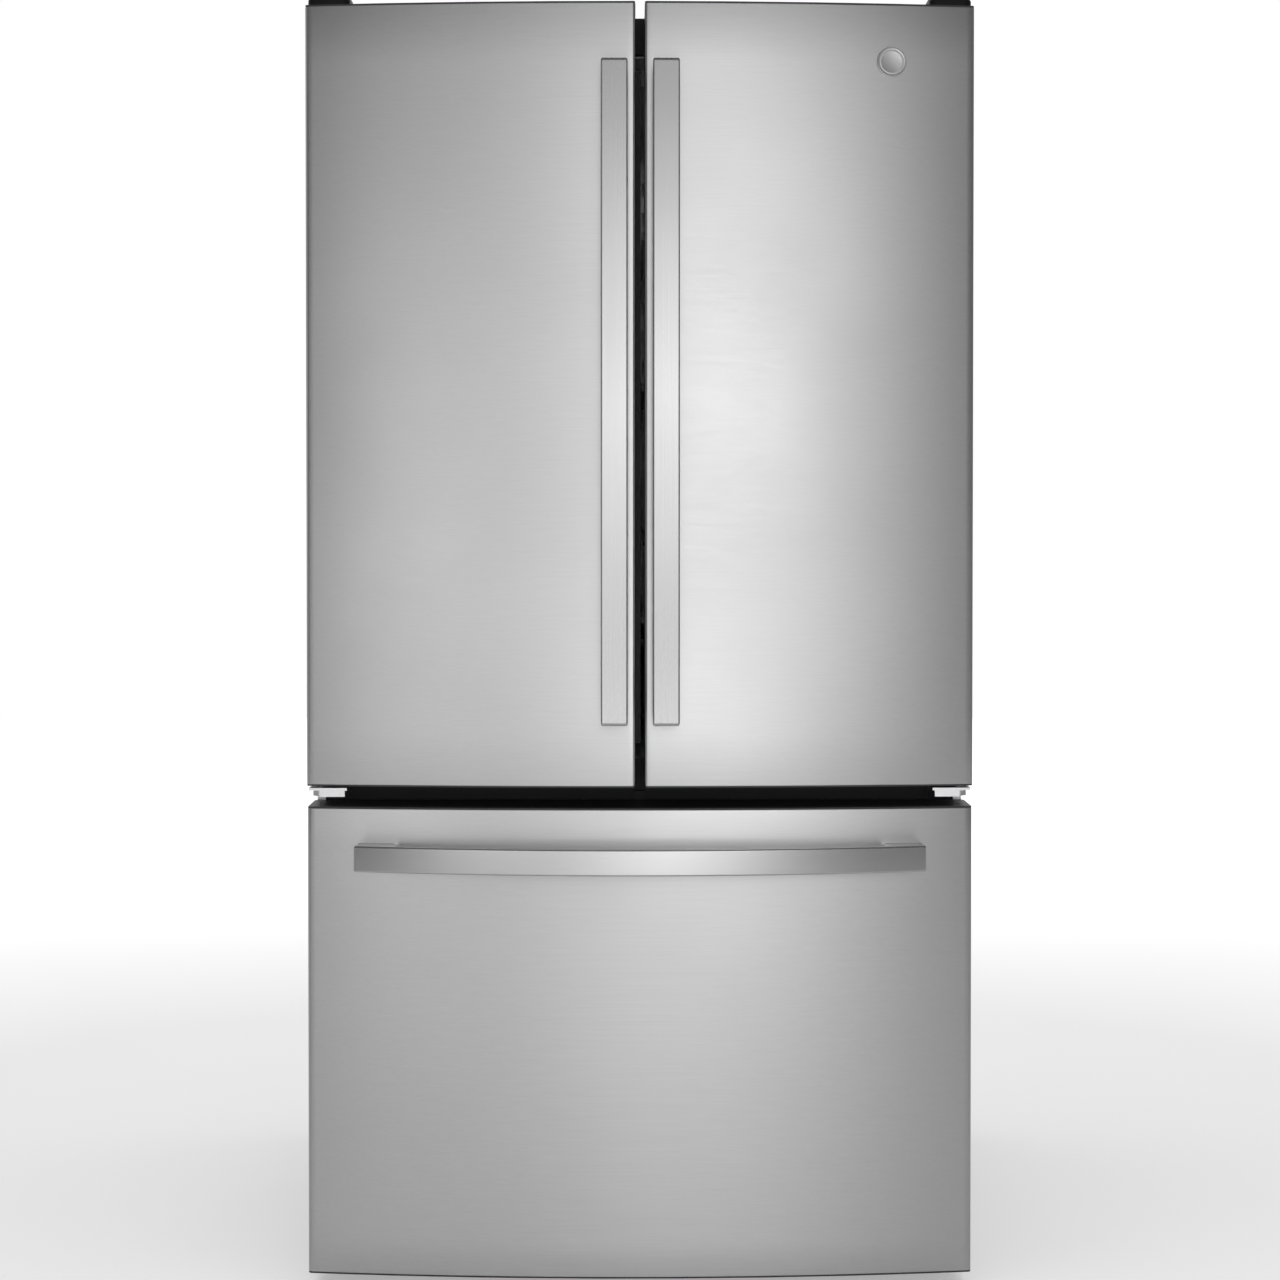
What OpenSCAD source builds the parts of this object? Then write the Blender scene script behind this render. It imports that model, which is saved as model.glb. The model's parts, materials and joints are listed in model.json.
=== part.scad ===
// French door refrigerator with a bottom freezer drawer.
// Millimetres. Origin at the middle of the footprint on the floor, front towards -Y, +Z up.

/* [Cabinet] */
// Width of the cabinet
case_w = 902; // [890:1:904]
// Height of the cabinet's top above the floor
case_h = 1753; // [1740:1:1760]
// Y of the cabinet's front face
case_front = -285.5; // [-286:0.5:-285]
// Y of the cabinet's back edge
case_back = 460.5; // [460:0.5:461]
// Thickness of the painted sheet
sheet_t = 1.2; // [1:0.1:1.5]
// Thickness of the moulded liners
liner_t = 2.5; // [2:0.1:3]
// Half width of the inside of both compartments
inner_hw = 401; // [396:1:402]

/* [Compartments] */
// Height of the fresh food floor
fresh_z0 = 722; // [720:1:726]
// Height of the fresh food ceiling
fresh_z1 = 1698; // [1690:1:1700]
// Y of the back wall in both compartments
inner_back = 395; // [390:1:396]
// Height of the freezer floor
freezer_z0 = 150; // [148:1:152]
// Height of the freezer ceiling
freezer_z1 = 640; // [636:1:642]
// Y where the step over the machine compartment begins
hump_y = 230; // [228:1:232]
// Height of the step over the machine compartment
hump_z = 310; // [306:1:312]

/* [Doors] */
// Width across both doors
doors_w = 908; // [906:1:909]
// Gap between the two doors
door_gap = 12.5; // [11:0.5:14]
// Height of the doors' bottom edge
door_z0 = 692; // [690:0.5:694]
// Height of the doors' top edge
door_z1 = 1752; // [1750:0.5:1752]
// Y of the back of the door bodies
door_rear = -297.5; // [-298:0.5:-297]
// Y of the crown of the bowed fronts
door_crown = -399.5; // [-400:0.5:-396]
// Radius of the bowed fronts, seen from above
bow_r = 3830; // [3600:10:4200]
// Thickness of the stainless skins
skin_t = 1.2; // [0.8:0.1:1.5]
// Chamfer along the skins' vertical edges
edge_c = 2.5; // [1:0.5:4]
// Thickness of the end caps' visible rim
cap_rim = 2; // [1:0.5:3]
// Depth of the end caps' plug inside the skin
cap_plug = 24; // [20:1:30]

/* [Freezer drawer] */
// Width of the drawer front
drawer_w = 906; // [904:1:908]
// Height of the drawer front's bottom edge
drawer_z0 = 25; // [22:1:30]
// Height of the drawer front's top edge
drawer_z1 = 664; // [660:1:666]

/* [Hinges] */
// Distance of the door hinge axes from the middle
hinge_x = 440; // [438:0.5:441]
// Y of the door hinge axes
hinge_y = -335.5; // [-338:0.5:-333]
// Radius of the hinge pins
pin_r = 5; // [4:0.5:6]
// Running clearance round pins, axles and stems
run_c = 0.08; // [0.02:0.01:0.1]

/* [Handles] */
// Width of the handle bars' front face
bar_w = 35.5; // [30:0.5:40]
// Thickness of the handle bars
bar_t = 12; // [8:0.5:16]
// Distance of the door handles' inner edge from the middle
handle_x = 16.8; // [14:0.2:24]
// Height of the door handles' lower end
handle_z0 = 781; // [770:1:800]
// Height of the door handles' upper end
handle_z1 = 1664; // [1640:1:1680]
// Y of the handles' front
handle_front = -460.5; // [-461:0.5:-455]
// Half length of the drawer handle
dh_half = 385.4; // [360:0.2:400]
// Height of the drawer handle's lower edge
dh_z0 = 581; // [560:1:600]
// Height of the drawer handle's bar
dh_h = 35; // [30:1:40]
// How far the drawer handle bows forward
dh_bow = 42; // [20:1:48]

/* [Shelves and bins] */
// Heights of the left shelves' glass
left_shelves = [1130, 1400]; // [1000:1:1600]
// Heights of the right shelves' glass
right_shelves = [1050, 1250, 1470]; // [1000:1:1600]
// Y of the shelves' front edge
shelf_front = -150; // [-160:1:-120]
// Heights of the door bins' floors
bin_z = [1062, 1270, 1480]; // [1000:1:1600]
// Height of the door bins
bin_h = 95; // [80:1:110]

/* [Hidden] */
bow_cy = door_crown + bow_r;
hw = case_w / 2;
front_in = case_front + sheet_t;
back_in = case_back - 2.7;
dh_r = (dh_half * dh_half + dh_bow * dh_bow) / (2 * dh_bow);
dh_cy = handle_front + dh_r;
mullion_x = -48.5;
mullion_y = -278.5;
mullion_lugs = [800, 1210, 1620];
$fn = 64;

// Colours
steel_c = "silver";
case_c = [0.13, 0.13, 0.14];
cap_c = [0.22, 0.22, 0.23];
white_c = [0.93, 0.94, 0.95];
zinc_c = [0.72, 0.73, 0.74];
seal_c = [0.55, 0.56, 0.57];
clear_c = [0.80, 0.87, 0.90, 0.5];

// ---------- helpers ----------
// A box from its corner coordinates
module bx(x0, x1, y0, y1, z0, z1) translate([x0, y0, z0]) cube([x1 - x0, y1 - y0, z1 - z0]);
// The same on the left and the right
module both() { children(); mirror([1, 0, 0]) children(); }
// Y of the bowed front at a distance x from the middle
function bow_y(x, inset = 0) = bow_cy - sqrt((bow_r - inset) * (bow_r - inset) - x * x);
// Plan outline of a bowed door body
module bowed(x0, x1, inset, c, rear) intersection() {
  translate([0, bow_cy]) circle(r = bow_r - inset, $fn = 720);
  polygon([
    [x0, rear], [x1, rear], [x1, bow_y(x1, inset) + c], [x1 - c - 30, bow_y(x1, inset) - 30],
    [x0 + c + 30, bow_y(x0, inset) - 30], [x0, bow_y(x0, inset) + c]
  ]);
}
module slab(z0, z1) translate([0, 0, z0]) linear_extrude(z1 - z0) children();
module zcyl(x, y, z0, z1, r) translate([x, y, z0]) cylinder(r = r, h = z1 - z0);
module xcyl(x0, x1, y, z, r) translate([x0, y, z]) rotate([0, 90, 0]) cylinder(r = r, h = x1 - x0);
module ycyl(x, y0, y1, z, r) translate([x, y1, z]) rotate([90, 0, 0]) cylinder(r = r, h = y1 - y0);
// An open tub with walls all round and a floor
module tub(x0, x1, y0, y1, z0, z1, w, front) difference() {
  bx(x0, x1, y0, y1, z0, z1);
  bx(x0 + w, x1 - w, y0 + front, y1 - w, z0 + w, z1 + 1);
}
// A flat ring in the XZ plane
module xz_ring(x0, x1, z0, z1, w, y0, y1) difference() {
  bx(x0, x1, y0, y1, z0, z1);
  bx(x0 + w, x1 - w, y0 - 1, y1 + 1, z0 + w, z1 - w);
}

// ---------- cabinet ----------
// One folded sheet: both sides, the top, and the flange round the front
module case_wrapper() color(case_c) {
  difference() {
    bx(-hw, hw, case_front, case_back, 40, case_h);
    bx(-hw + sheet_t, hw - sheet_t, front_in, case_back + 1, 30, case_h - sheet_t);
    bx(-inner_hw - liner_t, inner_hw + liner_t, case_front - 1, front_in + 1, 30, fresh_z1 + liner_t);
  }
}

module back_panel() color([0.33, 0.34, 0.35]) difference() {
  union() {
    bx(-hw + 1.4, hw - 1.4, back_in + 0.1, back_in + 1.3, 270.2, case_h - 1.4);
    for (x = [-300, -100, 100, 300]) bx(x - 18, x + 18, back_in + 1.3, back_in + 2.3, 330, 1690);
  }
}

// Base pan, roller brackets, front beam for the legs, and the machine tray
module base_frame() color([0.42, 0.43, 0.45]) {
  difference() {
    union() {
      bx(-hw + 1.4, hw - 1.4, front_in + 0.2, 262, 99.8, 101.2);
      bx(-hw + 1.4, hw - 1.4, 260.8, 262, 99.8, 271.2);
      bx(-hw + 1.4, hw - 1.4, 260.8, back_in - 0.2, 270, 271.2);
      bx(-393, 393, -262, -218, 60, 99.8);
      both() {
        for (y = [[-268, -192], [392, 455]]) {
          bx(399, 402, y[0], y[1], 13, 99.8);
          bx(438, 441, y[0], y[1], 13, 99.8);
          bx(399, 441, y[0], y[1], 96, 99.8);
        }
        bx(393, 399, -262, -218, 60, 99.8);
        bx(405, 435, -193, 255, 82, 100);
        bx(399, 402, 255, 393, 38, 90);
        xcyl(399, 441, -230, 20, 4);
        xcyl(399, 441, 425, 20, 4);
      }
      bx(-402, 402, 260.8, 262, 38, 100.5);
      bx(-400, 400, 261, 450, 38, 40);
    }
    both() zcyl(370, -240, 40, 110, 6 + run_c);
  }
}

// Foamed insulation between the sheet and the liners, as slabs
module foam_insulation() color([0.93, 0.86, 0.62]) {
  g = 0.2;
  both() {
    bx(inner_hw + liner_t + g, hw - sheet_t - g, front_in + g, back_in, 271.4, case_h - sheet_t - g);
    bx(inner_hw + liner_t + g, hw - sheet_t - g, front_in + g, 260.6, 101.4, 271.2);
  }
  w = inner_hw + liner_t;
  bx(-w, w, front_in + g, back_in, fresh_z1 + liner_t + g, case_h - sheet_t - g);
  bx(-w, w, inner_back + liner_t + g, back_in, freezer_z1 + liner_t + 2 * g, fresh_z1 + liner_t);
  bx(-w, w, front_in + g, inner_back + liner_t, freezer_z1 + liner_t + g, fresh_z0 - liner_t - g);
  bx(-w, w, inner_back + liner_t + g, back_in, 271.4, freezer_z1 + liner_t + g);
  bx(-w, w, hump_y + liner_t + g, inner_back + liner_t, 271.4, hump_z - liner_t - g);
  bx(-w, w, hump_y + liner_t + g, 260.6, 101.4, 271.2);
  bx(-w, w, front_in + g, hump_y + liner_t, 101.4, freezer_z0 - liner_t - g);
}

// Moulded liner of the fresh food compartment, with ledges for the crisper cover
module fridge_liner() color(white_c) {
  w = inner_hw + liner_t;
  difference() {
    bx(-w, w, front_in, inner_back + liner_t, fresh_z0 - liner_t, fresh_z1 + liner_t);
    bx(-inner_hw, inner_hw, front_in - 1, inner_back, fresh_z0, fresh_z1);
  }
  both() bx(395, inner_hw + 0.5, -128, 385, 895, 903);
  both() for (z = [1130, 1400]) bx(398.5, inner_hw + 0.5, -90, 385, z - 34, z - 28);
}

// Moulded liner of the freezer, with the step over the machine compartment
module freezer_liner() color(white_c) {
  w = inner_hw + liner_t;
  both() translate([inner_hw, 0, 0]) rotate([90, 0, 90]) linear_extrude(liner_t) polygon([
    [front_in, freezer_z0 - liner_t], [hump_y + liner_t, freezer_z0 - liner_t],
    [hump_y + liner_t, hump_z - liner_t], [inner_back + liner_t, hump_z - liner_t],
    [inner_back + liner_t, freezer_z1 + liner_t], [front_in, freezer_z1 + liner_t]
  ]);
  bx(-w, w, front_in, hump_y + liner_t, freezer_z0 - liner_t, freezer_z0);
  bx(-w, w, hump_y, hump_y + liner_t, freezer_z0 - liner_t, hump_z);
  bx(-w, w, hump_y, inner_back + liner_t, hump_z - liner_t, hump_z);
  bx(-w, w, inner_back, inner_back + liner_t, hump_z - liner_t, freezer_z1 + liner_t);
  bx(-w, w, front_in, inner_back + liner_t, freezer_z1, freezer_z1 + liner_t);
}

// Front rails between and below the compartments, with the mullion's guides
module cross_rail() color(case_c) {
  bx(-inner_hw - liner_t + 0.2, inner_hw + liner_t - 0.2, case_front, front_in - 0.1, 638, 721.8);
  bx(-inner_hw - liner_t + 0.2, inner_hw + liner_t - 0.2, case_front, front_in - 0.1, 100.2, 149.8);
  bx(-7.5, 7.5, -296, case_front, 652, 676);
  bx(-12, 12, -292, case_front, 1702, 1720);
}

// ---------- hinges ----------
module top_hinges() color(zinc_c) both() {
  difference() {
    union() {
      bx(402, 449, -300, -228, case_h, case_h + 3.5);
      zcyl(hinge_x - 6, hinge_y, case_h, case_h + 3.5, 15);
      bx(419, 449, hinge_y, -290, case_h, case_h + 3.5);
    }
    zcyl(413, -245, case_h - 1, case_h + 5, 3);
    zcyl(413, -280, case_h - 1, case_h + 5, 3);
    zcyl(438, -245, case_h - 1, case_h + 5, 3);
  }
  zcyl(hinge_x, hinge_y, door_z1 - 18, case_h + 8, pin_r);
}

module hinge_covers() color(case_c) both() difference() {
  intersection() {
    bx(396, 453, -354, -216, case_h + 0.3, 1775);
    translate([396, 0, 0]) rotate([90, 0, 90]) linear_extrude(57) polygon([
      [-354, case_h + 0.3], [-216, case_h + 0.3], [-216, case_h + 9], [-228, 1775], [-344, 1775], [-354, case_h + 12]
    ]);
  }
  bx(398.5, 450.5, -351, -219, case_h, case_h + 10);
  bx(398.5, 450.5, -341, -230, case_h + 9, 1772.5);
}

module middle_hinges() color(zinc_c) both() {
  union() {
    bx(400, 452, -368, case_front, 685, 688.5);
    bx(403, 436, -368, -365, 676.5, 686);
    bx(439, 450.5, -288.5, case_front, 640, 686);
    zcyl(hinge_x, hinge_y, 675, 686, 10);
    zcyl(hinge_x, hinge_y, 688, 691.5, 10);
    zcyl(hinge_x, hinge_y, 680, door_z0 + 18, pin_r);
  }
}

// ---------- fresh food fittings ----------
module shelf_tracks() color(zinc_c) for (x = [-388, -9, 9, 388]) difference() {
  bx(x - 6, x + 6, 390, 394.9, 930, 1660);
  for (z = [950 : 50 : 1640]) bx(x - 2, x + 2, 389, 396, z, z + 24);
}

// One shelf frame: a rim that holds the glass, and hooks at the back
module shelf_frame(x0, x1, z) {
  difference() {
    bx(x0, x1, shelf_front, 386, z - 10, z + 4.5);
    bx(x0 + 14, x1 - 14, shelf_front + 18, 372, z - 11, z + 6);
    bx(x0 + 6, x1 - 6, shelf_front + 8, 380, z, z + 6);
  }
  for (x = [x0, x1 - 3]) bx(x, x + 3, 340, 389.8, z - 40, z - 9);
}

module shelf_frames() color(white_c) {
  for (z = left_shelves) shelf_frame(-394, -3, z);
  for (z = right_shelves) shelf_frame(3, 394, z);
  difference() {
    bx(-394, 394, shelf_front, 386, 903.3, 916);
    for (x = [-388, 4]) {
      bx(x + 8, x + 376, shelf_front + 18, 374, 902, 918);
      bx(x, x + 384, shelf_front + 8, 382, 911.5, 918);
    }
  }
}

module shelf_glass() color(clear_c) {
  for (z = left_shelves) bx(-387.8, -9.2, shelf_front + 8.2, 379.8, z + 0.1, z + 4.3);
  for (z = right_shelves) bx(9.2, 387.8, shelf_front + 8.2, 379.8, z + 0.1, z + 4.3);
  for (x = [-387.8, 4.2]) bx(x, x + 383.6, shelf_front + 8.2, 381.8, 911.6, 915.8);
}

// Runners under the crisper cover and for the deli drawer
module drawer_rails() color(white_c) {
  both() bx(395.3, 400.8, -126, 385, 866, 878.4);
  union() {
    bx(-8, 8, -126, 385, 872, 878.4);
    bx(-1.5, 1.5, -126, 385, 878, 903);
  }
  bx(395.3, 400.8, -126, 340, 1004, 1016.4);
  union() {
    bx(3.2, 8, -126, 340, 1010, 1016.4);
    bx(3.2, 5.2, -126, 340, 1016, 1039.7);
  }
}

module control_panel() color([0.82, 0.83, 0.85]) difference() {
  bx(-190, 190, -205, 70, 1674, fresh_z1 - 0.2);
  bx(-150, -30, -120, 30, 1670, 1680);
  bx(30, 150, -120, 30, 1670, 1680);
  bx(-170, 170, -206, -203.5, 1680, 1692);
}

module light_lenses() color([1, 1, 0.94]) {
  bx(-149.8, -30.2, -119.8, 29.8, 1674.5, 1679.8);
  bx(30.2, 149.8, -119.8, 29.8, 1674.5, 1679.8);
}

// ---------- refrigeration ----------
module evaporator() color([0.78, 0.79, 0.81]) {
  for (x = [-260 : 20 : 260]) bx(x - 0.6, x + 0.6, 343, 389, 350, 510);
  for (z = [370 : 30 : 500]) for (y = [355, 377]) xcyl(-268, 268, y, z, 4.5);
  for (s = [-1, 1]) for (z = [370, 430]) translate([s * 268, 0, 0])
    bx(-4, 4, 350.5, 381.5, z - 4, z + 34);
}

module evaporator_cover() color(white_c) {
  difference() {
    bx(-398, 398, 326, 329, hump_z + 0.3, 637);
    ycyl(0, 320, 335, 575, 48);
    for (z = [335 : 14 : 400]) for (x = [-300, 160]) bx(x, x + 140, 320, 335, z, z + 5);
  }
  for (x = [-1, 1]) bx(x * 398 - (x > 0 ? 3 : 0), x * 398 + (x > 0 ? 0 : 3), 329, 394.8, hump_z + 0.3, 637);
  for (a = [0, 60, 120]) translate([0, 327.5, 575]) rotate([0, a, 0]) bx(-50, 50, -1, 1, -1.5, 1.5);
  ycyl(0, 353, 372, 575, 20);
  ycyl(0, 332, 354, 575, 3);
  for (s = [-1, 1]) bx(s > 0 ? 18 : -64, s > 0 ? 64 : -18, 362, 366, 569, 581);
  for (s = [-1, 1]) bx(s > 0 ? 60 : -64, s > 0 ? 64 : -60, 328, 366, 569, 581);
}

module fan(n, r, hub, w) {
  difference() {
    union() {
      cylinder(r = hub, h = w);
      for (i = [0 : n - 1]) rotate([0, 0, i * 360 / n]) translate([hub - 3, 0, w / 2])
        rotate([32, 0, 0]) translate([0, -r * 0.24, -0.9]) cube([r - hub + 1, r * 0.48, 1.8]);
    }
    translate([0, 0, -1]) cylinder(r = 3 + run_c, h = w + 2);
    difference() {
      translate([0, 0, -w]) cylinder(r = r + 20, h = 3 * w);
      translate([0, 0, -w - 1]) cylinder(r = r, h = 3 * w + 2);
    }
  }
}

module evaporator_fan() color([0.2, 0.2, 0.22]) translate([0, 350, 575]) rotate([90, 0, 0]) fan(5, 44, 14, 15);

module compressor() color([0.11, 0.11, 0.12]) {
  zcyl(-215, 360, 66, 180, 78);
  translate([-215, 360, 180]) cylinder(r1 = 78, r2 = 62, h = 18);
  translate([-215, 360, 198]) cylinder(r1 = 62, r2 = 26, h = 12);
  translate([-215, 360, 56]) cylinder(r1 = 58, r2 = 78, h = 10);
  bx(-325, -105, 310, 410, 54, 58);
  for (x = [-312, -118]) for (y = [322, 398]) zcyl(x, y, 40.2, 54.5, 9);
  bx(-160, -122, 335, 385, 95, 145);
  zcyl(-255, 330, 170, 235, 4);
}

module condenser() color([0.15, 0.15, 0.16]) {
  for (x = [90 : 14 : 300]) bx(x - 0.6, x + 0.6, 300, 430, 66, 220);
  for (z = [80 : 40 : 210]) for (y = [320, 365, 410]) xcyl(84, 306, y, z, 4);
  difference() {
    bx(30, 33, 285, 440, 58, 235);
    xcyl(20, 40, 362, 145, 66);
  }
  for (y = [288, 434]) bx(33, 86, y, y + 3, 60, 232);
  bx(84, 86, 288, 437, 62, 68);
  for (a = [0, 90]) translate([40, 362, 145]) rotate([a, 0, 0]) bx(0, 4, -72, 72, -4, 4);
  for (s = [-1, 1]) { bx(32, 44, 362 + s * 72 - 3, 362 + s * 72 + 3, 141, 149); bx(32, 44, 358, 366, 145 + s * 72 - 3, 145 + s * 72 + 3); }
  xcyl(40, 66, 362, 145, 19);
  xcyl(14, 41, 362, 145, 3);
}

module condenser_fan() color([0.1, 0.1, 0.11]) translate([12, 362, 145]) rotate([0, 90, 0]) fan(5, 60, 17, 16);

module drain_pan() color([0.2, 0.2, 0.21]) tub(60, 330, 280, 445, 40.3, 56, 2, 2);

module machine_cover() color([0.30, 0.31, 0.32]) difference() {
  bx(-hw + 1.6, hw - 1.6, back_in + 0.1, back_in + 1.3, 41, 269.8);
  for (x = [-320 : 32 : 330]) for (z = [90, 150, 210]) if (abs(x - 352) > 40) bx(x, x + 22, back_in - 2, back_in + 3, z, z + 8);
  ycyl(395, back_in - 2, back_in + 3, 215, 11.2);
}

// Where the mains lead enters the machine compartment
module cord_gland() color([0.08, 0.08, 0.08]) difference() {
  union() {
    ycyl(395, back_in - 12, back_in + 2.6, 215, 11);
    ycyl(395, back_in - 8, back_in, 215, 15);
    ycyl(395, back_in + 1.4, back_in + 2.6, 215, 15);
  }
  ycyl(395, back_in - 13, back_in + 4, 215, 4.5);
}

module screws() color(zinc_c) {
  both() for (p = [[413, -245], [413, -280], [438, -245]]) translate([p[0], p[1], case_h + 3.5]) cylinder(r = 5.5, h = 4, $fn = 6);
  for (x = [-430, -215, 0, 215, 430]) for (z = [295, 1715]) ycyl(x, back_in + 1.3, back_in + 2.5, z, 5);
  for (x = [-430, -215, 0, 215, 430]) ycyl(x, back_in + 1.3, back_in + 2.5, 255, 5);
  for (z = [500, 750, 1000, 1250, 1500]) both() ycyl(438, back_in + 1.3, back_in + 2.5, z, 5);
}

// ---------- doors, drawn for the right side (+X) and mirrored ----------
dx0 = door_gap / 2;
dx1 = doors_w / 2;

module door_skin() color(steel_c) slab(door_z0 + cap_rim, door_z1 - cap_rim) difference() {
  bowed(dx0, dx1, 0, edge_c, door_rear);
  bowed(dx0 + skin_t, dx1 - skin_t, skin_t, edge_c - 0.5, door_rear + 5);
}

module door_caps() color(cap_c) for (top = [0, 1]) {
  rim0 = top ? door_z1 - cap_rim : door_z0;
  plug0 = top ? door_z1 - cap_rim - cap_plug : door_z0 + cap_rim - 0.1;
  difference() {
    union() {
      slab(rim0, rim0 + cap_rim) bowed(dx0 + 0.4, dx1 - 0.4, 0.4, edge_c, door_rear);
      slab(plug0, plug0 + cap_plug + 0.1) bowed(dx0 + skin_t + 0.3, dx1 - skin_t - 0.3, skin_t + 0.3, edge_c, door_rear);
    }
    zcyl(hinge_x, hinge_y, top ? door_z1 - 20 : door_z0 - 1, top ? door_z1 + 1 : door_z0 + 20, pin_r + run_c);
  }
}

module door_foam() color([0.93, 0.86, 0.62]) slab(door_z0 + cap_rim + cap_plug + 0.2, door_z1 - cap_rim - cap_plug - 0.2)
  bowed(dx0 + skin_t + 0.3, dx1 - skin_t - 0.3, skin_t + 0.3, edge_c, door_rear - 2.7);

// Inner panel, and the four rails and six bosses fixed on it, which carry the bins
module door_liner() color(white_c) {
  bx(dx0 + skin_t + 0.3, dx1 - skin_t - 0.3, door_rear - 2.5, door_rear, door_z0 + cap_rim + cap_plug + 0.2, door_z1 - cap_rim - cap_plug - 0.2);
  for (x = [56, 368]) bx(x, x + 26, door_rear + 0.1, -262, 738, 1684);
  for (z = [738, 1658]) bx(82.1, 367.9, door_rear + 0.1, -262, z, z + 26);
  for (z = bin_z) for (x = [[82.1, 84.6], [361.6, 367.9]]) bx(x[0], x[1], -292, -266, z + 20, z + 70);
}

module door_gasket() color(seal_c) xz_ring(14, 437, 700, 1744, 22, door_rear + 0.1, case_front - 0.3);

module door_handle() color(steel_c) {
  c = 1.2;
  x0 = handle_x;
  x1 = handle_x + bar_w;
  slab(handle_z0, handle_z1) polygon([
    [x0, handle_front + bar_t], [x1, handle_front + bar_t], [x1, handle_front + c],
    [x1 - c, handle_front], [x0 + c, handle_front], [x0, handle_front + c]
  ]);
  for (z = [handle_z0, handle_z1 - 46]) slab(z, z + 46) difference() {
    translate([x0 + 3, handle_front + bar_t - 0.1]) square([bar_w - 6, 60]);
    translate([0, bow_cy]) circle(r = bow_r + 0.1, $fn = 720);
  }
}

module door_bins() color(clear_c) for (z = bin_z) difference() {
  bx(85, 361, door_rear + 0.4, -200, z, z + bin_h);
  bx(87.5, 358.5, door_rear + 3, -203, z + 3, z + bin_h + 1);
  bx(80, 366, door_rear - 2, -258, z + bin_h - 22, z + bin_h + 1);
}

module left_door_skin() mirror([1, 0, 0]) door_skin();
module left_door_caps() mirror([1, 0, 0]) door_caps();
module left_door_foam() mirror([1, 0, 0]) door_foam();
// The left one also carries the mullion's three hinge lugs and their pins
module left_door_liner() color(white_c) {
  mirror([1, 0, 0]) door_liner();
  for (z = mullion_lugs) {
    for (s = [z - 19, z + 15.5]) bx(-55.9, -46, -281, -276, s, s + 3.5);
    zcyl(mullion_x, mullion_y, z - 17, z + 17, 1.6);
  }
}
module left_door_gasket() mirror([1, 0, 0]) door_gasket();
module left_door_handle() mirror([1, 0, 0]) door_handle();
module left_door_bins() mirror([1, 0, 0]) door_bins();
module right_door_skin() door_skin();
module right_door_caps() door_caps();
module right_door_foam() door_foam();
module right_door_liner() door_liner();
module right_door_gasket() door_gasket();
module right_door_handle() door_handle();
module right_door_bins() door_bins();

// Plain round trim disc, high on the right door
module badge() color(steel_c) {
  y = bow_y(340);
  translate([340, y - 0.12, 1673]) rotate([90, 0, asin(340 / bow_r)]) {
    difference() {
      cylinder(r = 20, h = 3.2);
      translate([0, 0, 2.2]) cylinder(r = 17, h = 2);
    }
    cylinder(r = 15, h = 2.8);
  }
}

// Sealing flap on the left door's free edge, with a raised centre strip
module mullion() color([0.2, 0.2, 0.21]) difference() {
  union() {
    bx(-44, 1.3, -285, -273, 742, 1680);
    bx(-3.4, 1.3, -287.5, -284.9, 845, 1578);
    for (z = mullion_lugs) {
      zcyl(mullion_x, mullion_y, z - 15, z + 15, 3.4);
      bx(mullion_x, -43, -280.5, -276.5, z - 15, z + 15);
    }
  }
  for (z = mullion_lugs) zcyl(mullion_x, mullion_y, z - 16, z + 16, 1.6 + run_c);
}

// ---------- freezer drawer ----------
fx1 = drawer_w / 2;

module drawer_skin() color(steel_c) slab(drawer_z0 + cap_rim, drawer_z1 - cap_rim) difference() {
  bowed(-fx1, fx1, 0, edge_c, door_rear);
  bowed(-fx1 + skin_t, fx1 - skin_t, skin_t, edge_c - 0.5, door_rear + 5);
}

module drawer_caps() color(cap_c) for (top = [0, 1]) {
  rim0 = top ? drawer_z1 - cap_rim : drawer_z0;
  plug0 = top ? drawer_z1 - cap_rim - cap_plug : drawer_z0 + cap_rim - 0.1;
  slab(rim0, rim0 + cap_rim) bowed(-fx1 + 0.4, fx1 - 0.4, 0.4, edge_c, door_rear);
  slab(plug0, plug0 + cap_plug + 0.1) bowed(-fx1 + skin_t + 0.3, fx1 - skin_t - 0.3, skin_t + 0.3, edge_c, door_rear);
}

module drawer_foam() color([0.93, 0.86, 0.62]) slab(drawer_z0 + cap_rim + cap_plug + 0.2, drawer_z1 - cap_rim - cap_plug - 0.2)
  bowed(-fx1 + skin_t + 0.3, fx1 - skin_t - 0.3, skin_t + 0.3, edge_c, door_rear - 2.7);

module drawer_liner() color(white_c) {
  bx(-fx1 + skin_t + 0.3, fx1 - skin_t - 0.3, door_rear - 2.5, door_rear, drawer_z0 + cap_rim + cap_plug + 0.2, drawer_z1 - cap_rim - cap_plug - 0.2);
  bx(-392, 392, door_rear - 0.1, -272, 162, 628);
}

module drawer_gasket() color(seal_c) xz_ring(-437, 437, 112, 650, 22, door_rear + 0.1, case_front - 0.3);

module drawer_handle() color(steel_c) {
  slab(dh_z0, dh_z0 + dh_h) difference() {
    intersection() {
      translate([0, dh_cy]) circle(r = dh_r, $fn = 720);
      translate([-dh_half, -470]) square([2 * dh_half, 100]);
    }
    translate([0, dh_cy]) circle(r = dh_r - bar_t, $fn = 720);
  }
  both() slab(dh_z0 + 1.5, dh_z0 + dh_h - 1.5) difference() {
    intersection() {
      translate([0, dh_cy]) circle(r = dh_r - bar_t + 0.5, $fn = 720);
      translate([dh_half - 54, -470]) square([52.5, 100]);
    }
    translate([0, bow_cy]) circle(r = bow_r + 0.1, $fn = 720);
  }
}

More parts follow.
